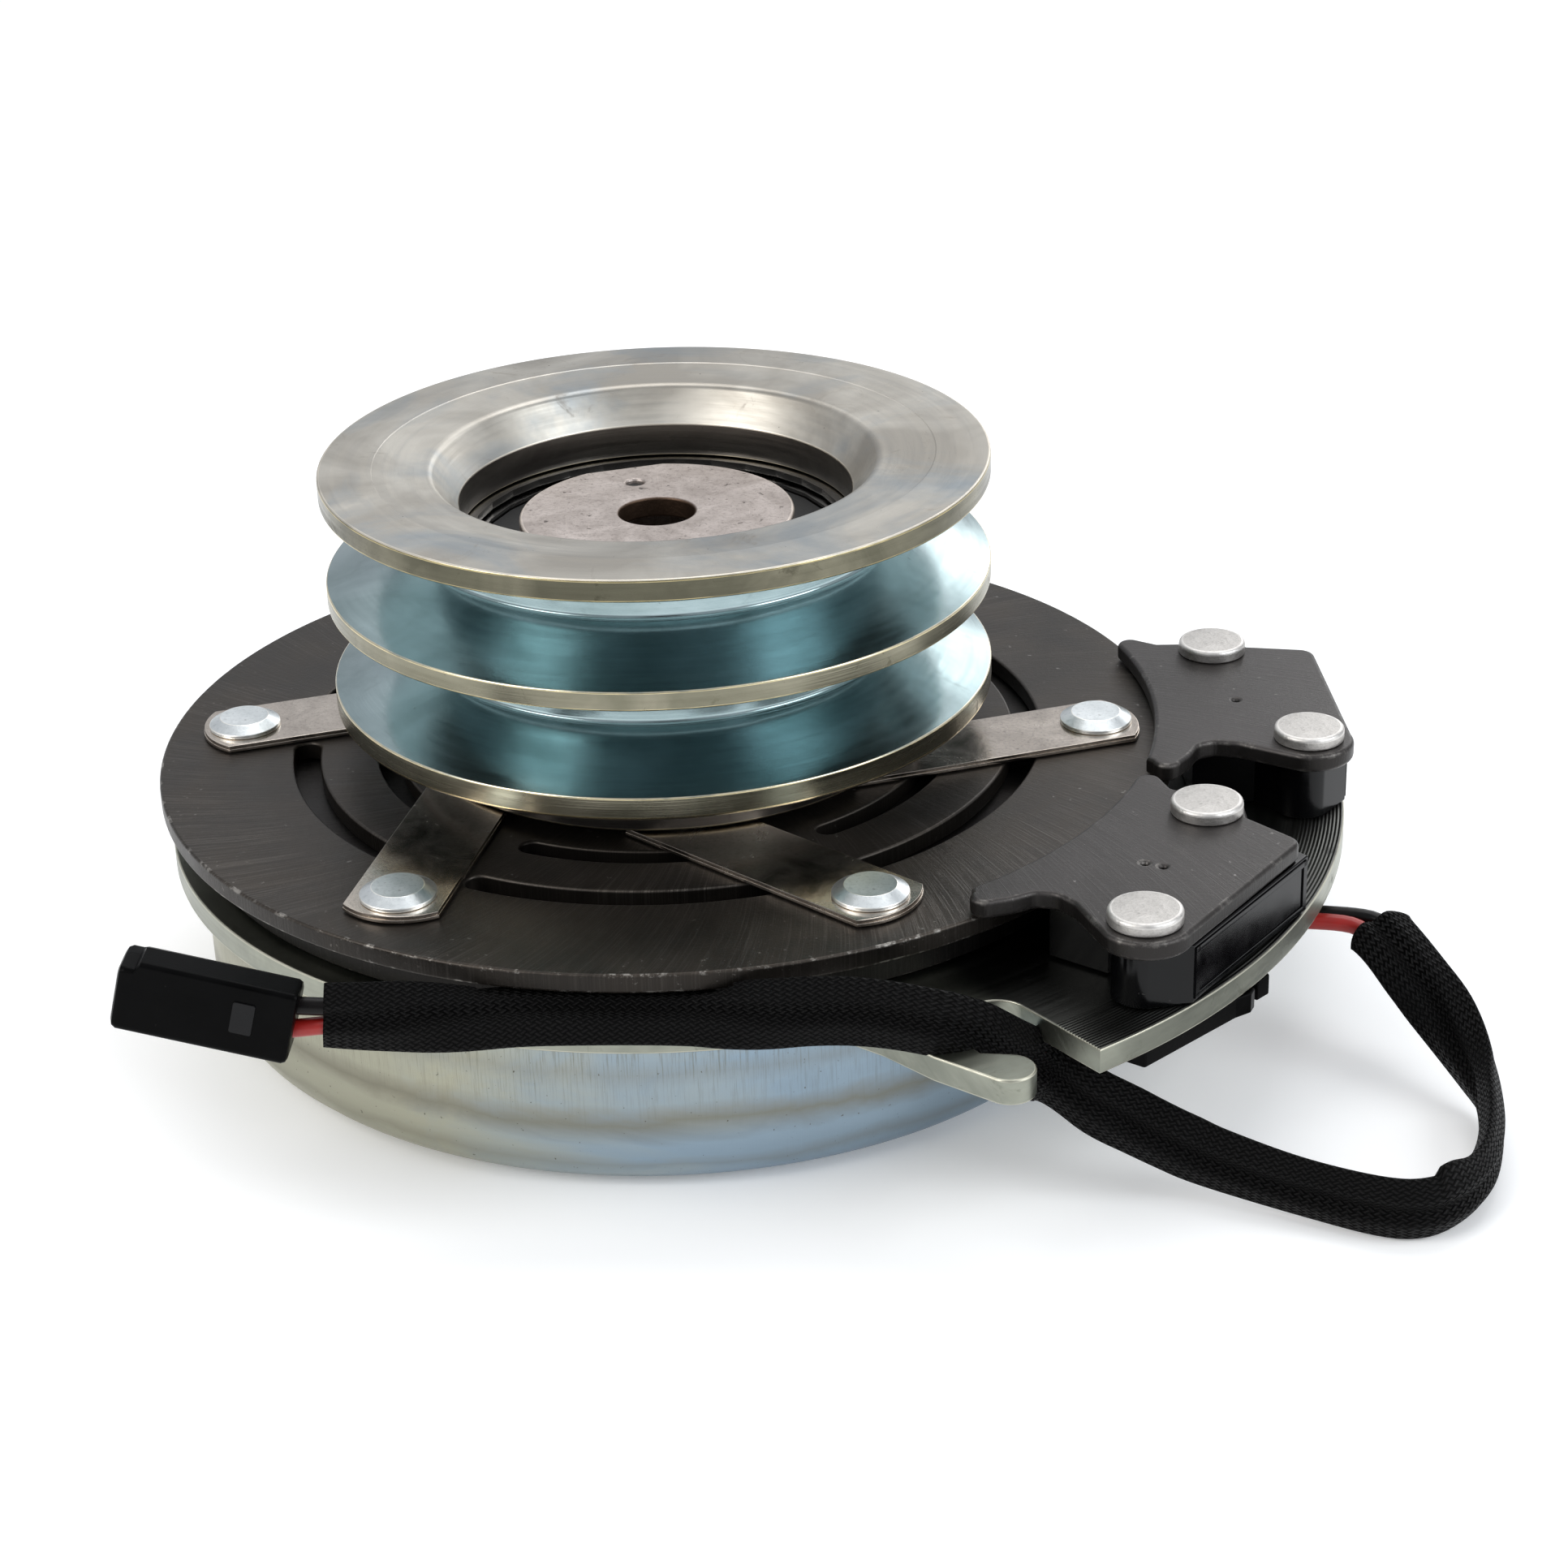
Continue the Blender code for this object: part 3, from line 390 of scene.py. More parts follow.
def shell_metal(name):
    """Drawn, plated bowl: beige on one side, bluish on the other (painted reflection), level bands, upright
    marks.
    """
    g = Graph(name)
    _, angle, z = g.round_place()
    cloud = g.noise(g.scaled(1.0, 1.0, 2.2), 32.0, 5.0, 0.62, 0.7)
    # Painted reflection: the bowl is tinted blue on the side towards the right of the view.
    facing = g.math("COSINE", g.math("ADD", angle, 0.25))
    side = g.math("ADD", g.span(facing, -0.3, 0.95), g.math("MULTIPLY", g.math("SUBTRACT", cloud, 0.5), 0.8))
    colour = g.mix(g.span(side, 0.25, 0.8), srgb("a6a594"), srgb("90a2b0"))
    for middle, half, amount in ((0.0140, 0.0035, 0.8), (0.0235, 0.0030, 0.3), (0.0060, 0.0020, 0.35)):
        ripple = g.math("MULTIPLY", g.math("SUBTRACT", cloud, 0.5), 0.006)
        level = g.math("ADD", g.math("SUBTRACT", z, middle), ripple)
        colour = g.mix(g.span(g.math("ABSOLUTE", level), half, 0.0, 0.0, amount), colour, srgb("7d7a6c"))
    upright = g.join(g.math("MULTIPLY", angle, 260.0), g.math("MULTIPLY", z, 90.0), 0.0)
    upright = g.noise(upright, 1.0, 4.0, 0.7)
    high_up = g.span(z, 0.012, 0.030, 0.0, 0.8)
    colour = g.mix(g.math("MULTIPLY", g.span(upright, 0.50, 0.66), high_up), colour, srgb("6f6f62"))
    pits = g.span(g.noise(None, 1300.0, 2.0, 0.6), 0.71, 0.76)
    colour = g.mix(pits, colour, srgb("5b584e"))
    rough = g.span(cloud, 0.3, 0.7, 0.34, 0.48)
    return g.done(Base_Color=colour, Roughness=rough, Metallic=1.0, Normal=g.bump(upright, 0.1, 0.0002))


def dark_steel(name, base, brown, streaks=0.0, chips=0.5, rough=0.42, metallic=0.75):
    """Phosphated steel: near black, a little brown, with grinding marks, dust specks and chipped edges."""
    g = Graph(name)
    cloud = g.noise(None, 45.0, 5.0, 0.65, 0.5)
    colour = g.mix(g.span(cloud, 0.35, 0.68), srgb(base), srgb(brown))
    fine = g.noise(None, 1500.0, 3.0, 0.7)
    normal = g.bump(fine, 0.18, 0.0002)
    if streaks:
        radius, angle, _ = g.round_place()
        slant = g.math("ADD", g.math("MULTIPLY", angle, 210.0), g.math("MULTIPLY", radius, 900.0))
        marks = g.noise(g.join(slant, g.math("MULTIPLY", radius, 40.0), 0.0), 1.0, 4.0, 0.75)
        some = g.span(g.noise(None, 22.0, 4.0), 0.40, 0.60, 0.25, 1.0)
        marks = g.math("MULTIPLY", g.span(marks, 0.50, 0.78), some)
        colour = g.mix(g.math("MULTIPLY", marks, streaks), colour, srgb("7b756f"))
        normal = g.bump(marks, 0.25, 0.0002, normal)
        chipped = g.math("MULTIPLY", g.span(g.noise(None, 850.0, 3.0, 0.7), 0.64, 0.70),
                         g.math("MULTIPLY", g.span(radius, 0.082, 0.0935), g.span(cloud, 0.42, 0.6)))
        colour = g.mix(g.math("MULTIPLY", chipped, 1.8 * streaks), colour, srgb("918c86"))
    speck = g.span(g.noise(None, 620.0, 2.0, 0.5), 0.735, 0.78)
    colour = g.mix(g.math("MULTIPLY", speck, 0.55), colour, srgb("8d8a86"))
    edge = g.math("MULTIPLY", g.edge_wear_and_highlight(), g.span(g.noise(None, 260.0, 5.0, 0.75), 0.53, 0.62))
    colour = g.mix(g.math("MULTIPLY", edge, chips), colour, srgb("a7a39d"))
    # Painted shade: upright side faces are coloured darker than level ones.
    level = g.add("ShaderNodeSeparateXYZ", {0: g.add("ShaderNodeTexCoord").outputs["Normal"]}).outputs[2]
    side = g.span(g.math("ABSOLUTE", level), 0.5, 0.1, 0.0, 0.55)
    colour = g.mix(side, colour, srgb("0d0b09"))
    shine = g.span(cloud, 0.3, 0.7, rough - 0.06, rough + 0.08)
    return g.done(Base_Color=colour, Roughness=shine, Metallic=metallic, Normal=normal)


def cast_metal(name, dull, fair, dark, edge, rough=0.5, grain=0.3, scratches=0.3, pitting=0.6, core=0.0):
    """Pressed or cast metal: mottled, pitted, with a few fine scratches; brown inside radius core."""
    g = Graph(name)
    cloud = g.noise(None, 120.0, 6.0, 0.68, 0.8)
    colour = g.mix(g.span(cloud, 0.34, 0.66), srgb(dull), srgb(fair))
    speckle = g.noise(None, 1500.0, 3.0, 0.7)
    colour = g.mix(g.span(speckle, 0.50, 0.72, 0.0, 0.45), colour, srgb(dark))
    marks = 0.0
    for turn, size in ((0.5, 60.0), (1.9, 85.0), (2.7, 48.0)):
        c, s = math.cos(turn), math.sin(turn)
        parts = g.add("ShaderNodeSeparateXYZ", {0: g.place}).outputs
        u = g.math("ADD", g.math("MULTIPLY", parts[0], c), g.math("MULTIPLY", parts[1], s))
        v = g.math("SUBTRACT", g.math("MULTIPLY", parts[1], c), g.math("MULTIPLY", parts[0], s))
        line = g.noise(g.join(g.math("MULTIPLY", u, size), g.math("MULTIPLY", v, 2600.0), parts[2]), 1.0, 2.0)
        marks = g.math("MAXIMUM", marks, g.span(line, 0.66, 0.74))
    colour = g.mix(g.math("MULTIPLY", marks, scratches), colour, srgb(edge))
    pits = g.span(g.noise(None, 520.0, 2.0, 0.6), 0.68, 0.73, 0.0, pitting)
    colour = g.mix(pits, colour, srgb("3b3530"))
    # Light edge colour on the small roundings: partly edge rubbing, partly a painted highlight along each
    # edge.
    worn_and_highlit_edge = g.math("MULTIPLY", g.edge_wear_and_highlight(), g.span(g.noise(None, 220.0, 3.0), 0.35, 0.6, 0.4, 1.0))
    colour = g.mix(worn_and_highlit_edge, colour, srgb(edge))
    if core:
        colour = g.mix(g.span(g.round_place()[0], core, core - 0.0004), colour, srgb("57463a"))
    normal = g.bump(speckle, grain, 0.0002)
    normal = g.bump(g.math("ADD", marks, pits), -0.3, 0.0002, normal)
    shine = g.span(cloud, 0.3, 0.7, rough - 0.07, rough + 0.08)
    return g.done(Base_Color=colour, Roughness=shine, Metallic=1.0, Normal=normal)


def plastic(name, base, rough, speck=0.0, grain=0.06, coat=0.0, shine=0.5):
    """Moulded plastic or rubber with a faint grain, dust and uneven sheen."""
    g = Graph(name)
    cloud = g.noise(None, 140.0, 3.0, 0.6)
    colour = g.mix(g.span(cloud, 0.3, 0.7, 0.0, 0.08), srgb(base), srgb("1d1d1f"))
    dust = g.span(g.noise(None, 800.0, 2.0), 0.74, 0.79)
    colour = g.mix(g.math("MULTIPLY", dust, speck), colour, srgb("9a9894"))
    normal = g.bump(g.noise(None, 2600.0, 2.0), grain, 0.0002)
    g.put(g.shader.inputs["Coat Weight"], coat)
    g.put(g.shader.inputs["Specular IOR Level"], shine)
    g.put(g.shader.inputs["Coat Roughness"], 0.08)
    return g.done(Base_Color=colour, Roughness=g.span(cloud, 0.3, 0.7, rough, rough + 0.1), Normal=normal)


def insulation(name, base, shine=0.5):
    """Extruded wire insulation: satin, slightly rippled along its length."""
    g = Graph(name)
    ripple = g.noise(None, 260.0, 2.0)
    colour = g.mix(g.span(ripple, 0.3, 0.7, 0.0, 0.25), srgb(base), srgb("1a0605"))
    g.put(g.shader.inputs["Specular IOR Level"], shine)
    return g.done(Base_Color=colour, Roughness=g.span(ripple, 0.3, 0.7, 0.28, 0.42),
                  Normal=g.bump(ripple, 0.1, 0.0003))


def braid_material():
    """Woven sleeve: two families of slanting strands that pass over and under each other."""
    g = Graph("braid")
    uv = g.add("ShaderNodeUVMap", uv_map="braid").outputs[0]
    parts = g.add("ShaderNodeSeparateXYZ", {0: uv}).outputs
    wobble = g.math("MULTIPLY", g.math("SUBTRACT", g.noise(None, 300.0, 2.0), 0.5), 0.5)
    along = g.math("ADD", g.math("MULTIPLY", parts[0], 1.0 / 1.7), wobble)
    across = g.math("MULTIPLY", parts[1], 1.0 / 0.95)
    one, two = g.math("ADD", along, across), g.math("SUBTRACT", along, across)
    odd = g.math("MODULO", g.math("ADD", g.math("FLOOR", one), g.math("FLOOR", two)), 2.0)
    over = g.math("ABSOLUTE", odd)
    humps = []
    for value in (one, two):
        inside = g.math("SUBTRACT", g.math("FRACT", value), 0.5)
        humps.append(g.math("SUBTRACT", 1.0, g.math("MULTIPLY", g.math("MULTIPLY", inside, inside), 4.0)))
    first = g.math("MULTIPLY", humps[0], g.math("ADD", 0.35, g.math("MULTIPLY", over, 0.65)))
    second = g.math("MULTIPLY", humps[1], g.math("SUBTRACT", 1.0, g.math("MULTIPLY", over, 0.65)))
    height = g.math("MAXIMUM", first, second)
    fibre = g.noise(g.join(g.math("MULTIPLY", one, 7.0), g.math("MULTIPLY", two, 7.0), 0.0), 1.0, 2.0)
    # Painted highlight and shade: strand crests are coloured lighter and the hollows between strands near
    # black.
    colour = g.mix(g.span(height, 0.5, 1.0), srgb("010101"), srgb("121111"))
    colour = g.mix(g.span(fibre, 0.5, 0.85, 0.0, 0.25), colour, srgb("1c1b1a"))
    normal = g.bump(height, 1.0, 0.0010)
    normal = g.bump(fibre, 0.25, 0.0002, normal)
    g.put(g.shader.inputs["Specular IOR Level"], 0.09)
    return g.done(Base_Color=colour, Roughness=g.span(height, 0.0, 1.0, 0.9, 0.42), Normal=normal)


ZINC_TOP = turned_metal("zinc_top", "a6a198", "cac6bd", "7f786f", "d6cfc2", 0.38, 0.3, 0.35, 0.6,
                        tint="939da4")
ZINC_GROOVE = turned_metal("zinc_groove", "8c9fa1", "a9bbbe", "67776f", "ece2c8", 0.18, 0.12, 0.55, 0.2)
ZINC_RIM = turned_metal("zinc_rim", "7a7868", "8f8c7b", "56523f", "e0d2a8", 0.24, 0.6, 0.4, 0.8,
                        tint="a19c8a")
# A darker copy of the rim zinc, for the top rim only: painted shade.
ZINC_RIM_TOP_PAINTED_SHADE = turned_metal("zinc_rim_top_painted_shade", "525044", "686657", "3a382c", "b5a880", 0.24, 0.6, 0.4, 0.8,
                            tint="858170")
# Darker zinc for the bore and cone; on the base under the lower rim it is painted shade.
ZINC_BORE_AND_PAINTED_SHADE_BASE = turned_metal("zinc_bore_and_painted_shade_base", "6e6a66", "8a8680", "3d3a37", "c9bfa8", 0.34, 0.6, 0.5, 0.5)
ZINC_SHELL = shell_metal("zinc_shell")
# The dark level region of the plate beyond x = 0.07 m is painted shade under the brake parts.
ZINC_PLATE = turned_metal("zinc_plate", "83867c", "a3a598", "5f5f54", "bdbbab", 0.35, 0.4, 0.1, 0.85,
                          shade=0.07)
BEARING_STEEL = turned_metal("bearing_steel", "8d8b88", "a5a3a0", "5b5956", "d8d6d0", 0.22, 0.5, 0.5, 0.2)
SPRING_STEEL = cast_metal("spring_steel", "c6bbb0", "d4cabf", "8f857a", "dcd2c6", 0.22, 0.05, 0.25, 0.25)
SINTER = cast_metal("sintered_steel", "aaa09a", "c5bcb7", "6b615b", "d8cec5", 0.48, 0.35, 0.35, 0.75, 0.0074)
RIVET_ZINC = cast_metal("rivet_zinc", "dbe1e2", "eef2f3", "b4bbbb", "fdfbf4", 0.34, 0.12, 0.2, 0.3)
RIVET_BRIGHT = cast_metal("rivet_bright", "b4b1ad", "c9c6c2", "8d8986", "dddad6", 0.46, 0.4, 0.2, 0.3)
BRASS = turned_metal("cage_brass", "b58d45", "c9a45c", "7d5f2c", "e2c98c", 0.3, 0.4, 0.2, 0.2)
COPPER = turned_metal("winding_copper", "b06238", "c87b4c", "7d3f20", "e0a880", 0.35, 0.8, 0.2, 0.2)
PHOSPHATE = dark_steel("armature_steel", "322e2a", "403a34", 0.42, 0.6, 0.38)
POLE_STEEL = dark_steel("pole_steel", "3a3735", "444140", 0.05, 0.2, 0.38)
ROTOR_STEEL = dark_steel("rotor_steel", "262423", "302d2b", 0.3, 0.4, 0.45)
GLOSS_BLACK = plastic("gloss_black", "020203", 0.12, 0.10, 0.03, 0.0, 0.22)
MATTE_BLACK = plastic("matte_black", "020202", 0.30, 0.03, 0.06, 0.0, 0.05)
# A lighter black for the connector's lock tab, painted to stand for the tab's reflection.
TAB_PAINTED_REFLECTION = plastic("tab_painted_reflection", "161617", 0.40, 0.04, 0.10, 0.0, 0.15)
BOBBIN = plastic("bobbin_plastic", "1b1b1c", 0.45, 0.0, 0.1)
FERRITE = plastic("ferrite", "2c2c2e", 0.6, 0.1, 0.2)
RUBBER = plastic("rubber", "0e0e0e", 0.55, 0.1, 0.15)
RED = insulation("red_insulation", "a81f1a")
BLACK_WIRE = insulation("black_insulation", "060606", 0.2)
BRAID = braid_material()

for nodes, material in (
        (("coil_bobbin",), BOBBIN), (("coil_winding",), COPPER),
        (("brake_magnet_1", "brake_magnet_2"), FERRITE),
        (("field_bearing_inner_race", "field_bearing_outer_race", "pulley_bearing_inner_race",
          "pulley_bearing_outer_race", "pulley_snap_ring"), BEARING_STEEL),
        (("field_bearing_ball_cage", "pulley_bearing_ball_cage"), BRASS),
        (("field_bearing_seal", "pulley_bearing_seal", "lead_grommet", "connector_seal"), RUBBER),
        (("rotor_outer_pole", "rotor_inner_pole"), ROTOR_STEEL), (("hub_spacer", "rotor_hub"), SINTER),
        (tuple(f"pulley_rivet_{i}" for i in range(1, 7)), RIVET_ZINC)):
    for node in nodes:
        for slot in frame["nodes"][node].material_slots:
            slot.material = material


# ---------------------------------------------------------------- camera, light, floor

def aim(obj, target):
    obj.rotation_euler = (Vector(target) - obj.location).to_track_quat("-Z", "Y").to_euler()


TURN, RISE, ROLL = math.radians(18.0), math.radians(25.75), math.radians(1.87)
ASIDE, BELOW, AWAY = 21.36, 60.12, 594.8        # millimetres from the pulley's top, along the view's own axes
right = Vector((math.cos(TURN), math.sin(TURN), 0.0))
back = Vector((math.sin(TURN) * math.cos(RISE), -math.cos(TURN) * math.cos(RISE), math.sin(RISE)))
up = back.cross(right)
cam_x = right * math.cos(ROLL) - up * math.sin(ROLL)
cam_y = right * math.sin(ROLL) + up * math.cos(ROLL)
camera = bpy.data.objects.new("camera", bpy.data.cameras.new("camera"))
bpy.context.scene.collection.objects.link(camera)
camera.data.lens = 76.16
camera.data.sensor_width = 36.0
camera.data.clip_start = 0.01
at = world((0.0, 0.0, high("pulley"))) + (right * ASIDE - up * BELOW + back * AWAY) * MM
camera.matrix_world = Matrix((cam_x, cam_y, back)).transposed().to_4x4()
camera.location = at
bpy.context.scene.camera = camera
bpy.context.scene.view_settings.view_transform = "Standard"


def light(name, place, target, size, power, colour=(1.0, 1.0, 1.0)):
    lamp = bpy.data.lights.new(name, "AREA")
    lamp.shape = "RECTANGLE"
    lamp.size, lamp.size_y = size
    lamp.energy = power
    lamp.color = colour
    obj = bpy.data.objects.new(name, lamp)
    bpy.context.scene.collection.objects.link(obj)
    obj.location = Vector(place)
    aim(obj, target)
    return obj


def about(azimuth, distance, height):
    """A place seen from the object: azimuth 0 is towards the camera, 90 to its right."""
    turn = math.radians(azimuth)
    flat_back = Vector((back.x, back.y, 0.0)).normalized()
    return flat_back * math.cos(turn) * distance + right * math.sin(turn) * distance + Vector((0, 0, height))


CENTRE = Vector((0.0, 0.0, 0.05))
light("left_box", about(-58.0, 1.1, 0.85), CENTRE, (0.7, 0.9), 9.0, (1.0, 0.98, 0.95))
light("right_box", about(62.0, 1.1, 0.75), CENTRE, (0.7, 0.9), 8.0, (0.93, 0.97, 1.0))
light("top_box", about(170.0, 0.55, 1.3), CENTRE, (1.0, 0.8), 6.0)
panel = light("low_panel", about(178.0, 0.42, 0.42), CENTRE, (0.7, 0.25), 0.22)
panel.visible_camera = False
light("back_box", about(150.0, 1.4, 0.6), CENTRE, (0.8, 0.5), 3.0)


def stage_plane(name, size, place, facing, colour, rough, glow=0.0):
    """A flat sheet of the studio, such as the floor."""
    half = size / 2.0
    mesh = bpy.data.meshes.new(name)
    corners = [(-half, -half, 0), (half, -half, 0), (half, half, 0), (-half, half, 0)]
    mesh.from_pydata(corners, [], [(0, 1, 2, 3)])
    matt = Graph(name).done(Base_Color=colour, Roughness=rough, Emission_Color=colour, Emission_Strength=glow)
    mesh.materials.append(matt)
    obj = bpy.data.objects.new(name, mesh)
    bpy.context.scene.collection.objects.link(obj)
    obj.location = place
    obj.rotation_euler = Vector(facing).to_track_quat("Z", "Y").to_euler()
    return obj


stage_plane("floor", 12.0, (0.0, 0.0, -0.0004), (0, 0, 1), (0.95, 0.95, 0.95, 1.0), 0.6, 0.16)
card = stage_plane("dark_card", 0.3, about(2.0, 0.95, 0.40), -about(0.0, 1.0, 0.4), (0.01, 0.01, 0.01, 1.0),
                   0.9)
card.visible_camera = False
card.visible_shadow = False

sky = bpy.data.worlds.new("studio")
bpy.context.scene.world = sky
sky.use_nodes = True
sky.node_tree.nodes["Background"].inputs[0].default_value = (0.92, 0.95, 1.0, 1.0)
sky.node_tree.nodes["Background"].inputs[1].default_value = 0.55

# ---------------------------------------------------------------- harness

SLEEVE_W, SLEEVE_T = 11.5, 4.6
FOLD_AT = 74.0                  # way along the sleeve to the fold in its bend
WIRE_R = 1.5
# x, y, z, and the lean of the sleeve's width from level (0) to upright (90)
SLEEVE_ROUTE = (
    (132.5, -3.1, 23.5, 14.0), (136.6, -6.9, 21.8, 18.0), (140.9, -10.2, 18.6, 30.0),
    (147.5, -14.6, 13.0, 54.0), (153.2, -21.3, 8.6, 78.0), (156.5, -28.1, 6.6, 92.0),
    (158.4, -39.8, 5.8, 92.0), (158.3, -50.0, 5.6, 90.0), (155.5, -58.3, 5.6, 90.0),
    (150.6, -64.1, 5.6, 90.0), (143.3, -65.5, 5.6, 90.0), (129.7, -63.1, 5.8, 90.0),
    (115.9, -61.8, 8.0, 92.0), (109.1, -62.2, 10.5, 93.0), (102.4, -63.1, 13.8, 94.0),
    (95.9, -65.0, 18.0, 94.0), (89.2, -65.6, 22.8, 94.0), (86.5, -69.0, 25.9, 94.0),
    (84.0, -72.6, 29.3, 96.0), (81.7, -75.8, 32.6, 98.0), (78.8, -78.5, 35.8, 101.0),
    (75.9, -80.8, 38.0, 104.0), (73.0, -82.2, 39.3, 108.0), (66.4, -82.9, 40.1, 112.0),
    (59.8, -83.4, 40.2, 112.0), (53.4, -84.8, 40.1, 110.0), (47.2, -86.9, 39.9, 116.0),
    (40.8, -88.2, 39.5, 132.0), (34.1, -88.8, 39.0, 146.0), (21.0, -91.4, 38.5, 156.0),
    (8.3, -95.0, 38.5, 156.0), (-0.7, -98.8, 38.9, 144.0), (-9.9, -102.1, 39.8, 115.0),
    (-16.1, -104.3, 40.2, 100.0), (-22.3, -106.6, 40.8, 92.0),
)


def ribbon(name, route, width, thick, material, body, nodes):
    """A flattened sleeve with two wires in it, twisted along its route."""
    rows, along = smooth_path(route, 0.9)
    centre = rows[:, :3]
    ahead = np.gradient(centre, axis=0)
    ahead /= np.linalg.norm(ahead, axis=1)[:, None]
    left = np.stack([-ahead[:, 1], ahead[:, 0], np.zeros(len(ahead))], 1)
    for k in range(1, len(left)):                   # a steep stretch keeps the side it had
        if np.linalg.norm(left[k]) < 0.25:
            left[k] = left[k - 1] * 0.25 / max(np.linalg.norm(left[k - 1]), 1e-6)
    left /= np.linalg.norm(left, axis=1)[:, None]
    above = np.cross(ahead, left)
    lean = np.radians(rows[:, 3])[:, None]
    wide = left * np.cos(lean) + above * np.sin(lean)
    wide -= ahead * (wide * ahead).sum(1)[:, None]
    wide /= np.linalg.norm(wide, axis=1)[:, None]
    face = np.cross(wide, ahead)
    around = 48
    turn = np.arange(around) * 2 * math.pi / around
    u = np.sign(np.cos(turn)) * np.abs(np.cos(turn)) ** 0.85
    swell = 0.66 + 0.34 * np.exp(-((np.abs(u) - 0.40) / 0.28) ** 2) - 0.22 * np.exp(-(u / 0.18) ** 2)
    v = np.sign(np.sin(turn)) * np.abs(np.sin(turn)) ** 0.9 * swell
    s = along[:, None]
    rumple = 1.0 + 0.05 * np.sin(s / 9.0 + 1.3 * np.cos(turn)) + 0.04 * np.sin(s / 4.3 + 2.0 * turn)
    broad = 1.0 + 0.03 * np.sin(s / 17.0) + 0.02 * np.sin(s / 6.1 + 1.0)
    flare = 1.0 + 0.10 * np.exp(-s / 3.0)
    fold = 1.0 + 0.32 * np.exp(-((s - FOLD_AT) / 4.5) ** 2) * (s < FOLD_AT + 2.5) * np.clip(u, 0.0, 1.0)
    ring_w = (u * broad * flare * fold) * width / 2.0
    ring_t = (v * rumple) * thick / 2.0
    grid = centre[:, None, :] + wide[:, None, :] * ring_w[:, :, None] + face[:, None, :] * ring_t[:, :, None]
    grid += ahead[:, None, :] * (2.2 * np.exp(-s / 3.0) * np.abs(u) ** 4)[:, :, None]
    squeezed = np.minimum(grid[:, :, 2], low("armature_plate") - 0.9)       # where it dips under the armature
    under = np.linalg.norm(grid[:, :, :2], axis=2) < high("armature_plate", 0) + 0.6
    grid[:, :, 2] = np.where(under, squeezed, grid[:, :, 2])
    n = len(centre)
    inner = [grid[0] + (centre[0] - grid[0]) * 0.14 + ahead[0] * 2.5 * k for k in (0, 1)]
    outer_end = [grid[-1] + (centre[-1] - grid[-1]) * 0.14 - ahead[-1] * 2.5 * k for k in (0, 1)]
    rings = [inner[1], inner[0]] + list(grid) + [outer_end[0], outer_end[1]]
    verts = np.concatenate(rings)
    faces, uvs = [], []
    girth = np.concatenate([[0.0], np.cumsum(np.linalg.norm(np.diff(np.vstack([grid[n // 2],
                            grid[n // 2][:1]]), axis=0), axis=1))])
    length = np.concatenate([[along[0], along[0]], along, [along[-1], along[-1]]])
    for k in range(len(rings) - 1):
        for i in range(around):
            j = (i + 1) % around
            faces.append([k * around + i, (k + 1) * around + i, (k + 1) * around + j, k * around + j])
            uvs += [(length[k], girth[i]), (length[k + 1], girth[i]), (length[k + 1], girth[i + 1]),
                    (length[k], girth[i + 1])]
    faces.append(list(range(around)))
    faces.append([(len(rings) - 1) * around + i for i in range(around)][::-1])
    uvs += [(0.0, 0.0)] * (2 * around)
    mesh = bpy.data.meshes.new(name)
    mesh.from_pydata([tuple(p * MM) for p in verts], [], faces)
    layer = mesh.uv_layers.new(name="braid")
    layer.data.foreach_set("uv", np.array(uvs, np.float32).ravel())
    mesh.materials.append(material)
    mesh.shade_smooth()
    obj = bpy.data.objects.new(name, mesh)
    bpy.context.scene.collection.objects.link(obj)
    obj.location = AXIS
    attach(obj, body)
    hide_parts(*nodes)
    return obj, [world(p) for p in centre], along[-1] * MM


def wire(name, points, radius, material, body, nodes):
    """A round wire along smooth points."""
    rows, along = smooth_path(points, 1.5)
    curve = bpy.data.curves.new(name, "CURVE")
    curve.dimensions = "3D"
    curve.bevel_depth = radius * MM
    curve.bevel_resolution = 6
    curve.use_fill_caps = True
    spline = curve.splines.new("POLY")
    spline.points.add(len(rows) - 1)
    for point, row in zip(spline.points, rows):
        point.co = (*(row[:3] * MM), 1.0)
    curve.materials.append(material)
    obj = bpy.data.objects.new(name, curve)
    bpy.context.scene.collection.objects.link(obj)
    obj.location = AXIS
    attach(obj, body)
    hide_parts(*nodes)
    return obj, along[-1] * MM


SHELL_R = 87.4
SHELL_IN = SHELL_R - 3.4
LEAD_ANGLE, LEAD_Z = -6.0, 24.9
PLUG_END = Vector((-26.6, -107.9, 40.2))
PLUG_DIRECTION = Vector((-0.93, -0.25, 0.25)).normalized()
PLUG_SIZE = (29.0, 8.8, 13.2)

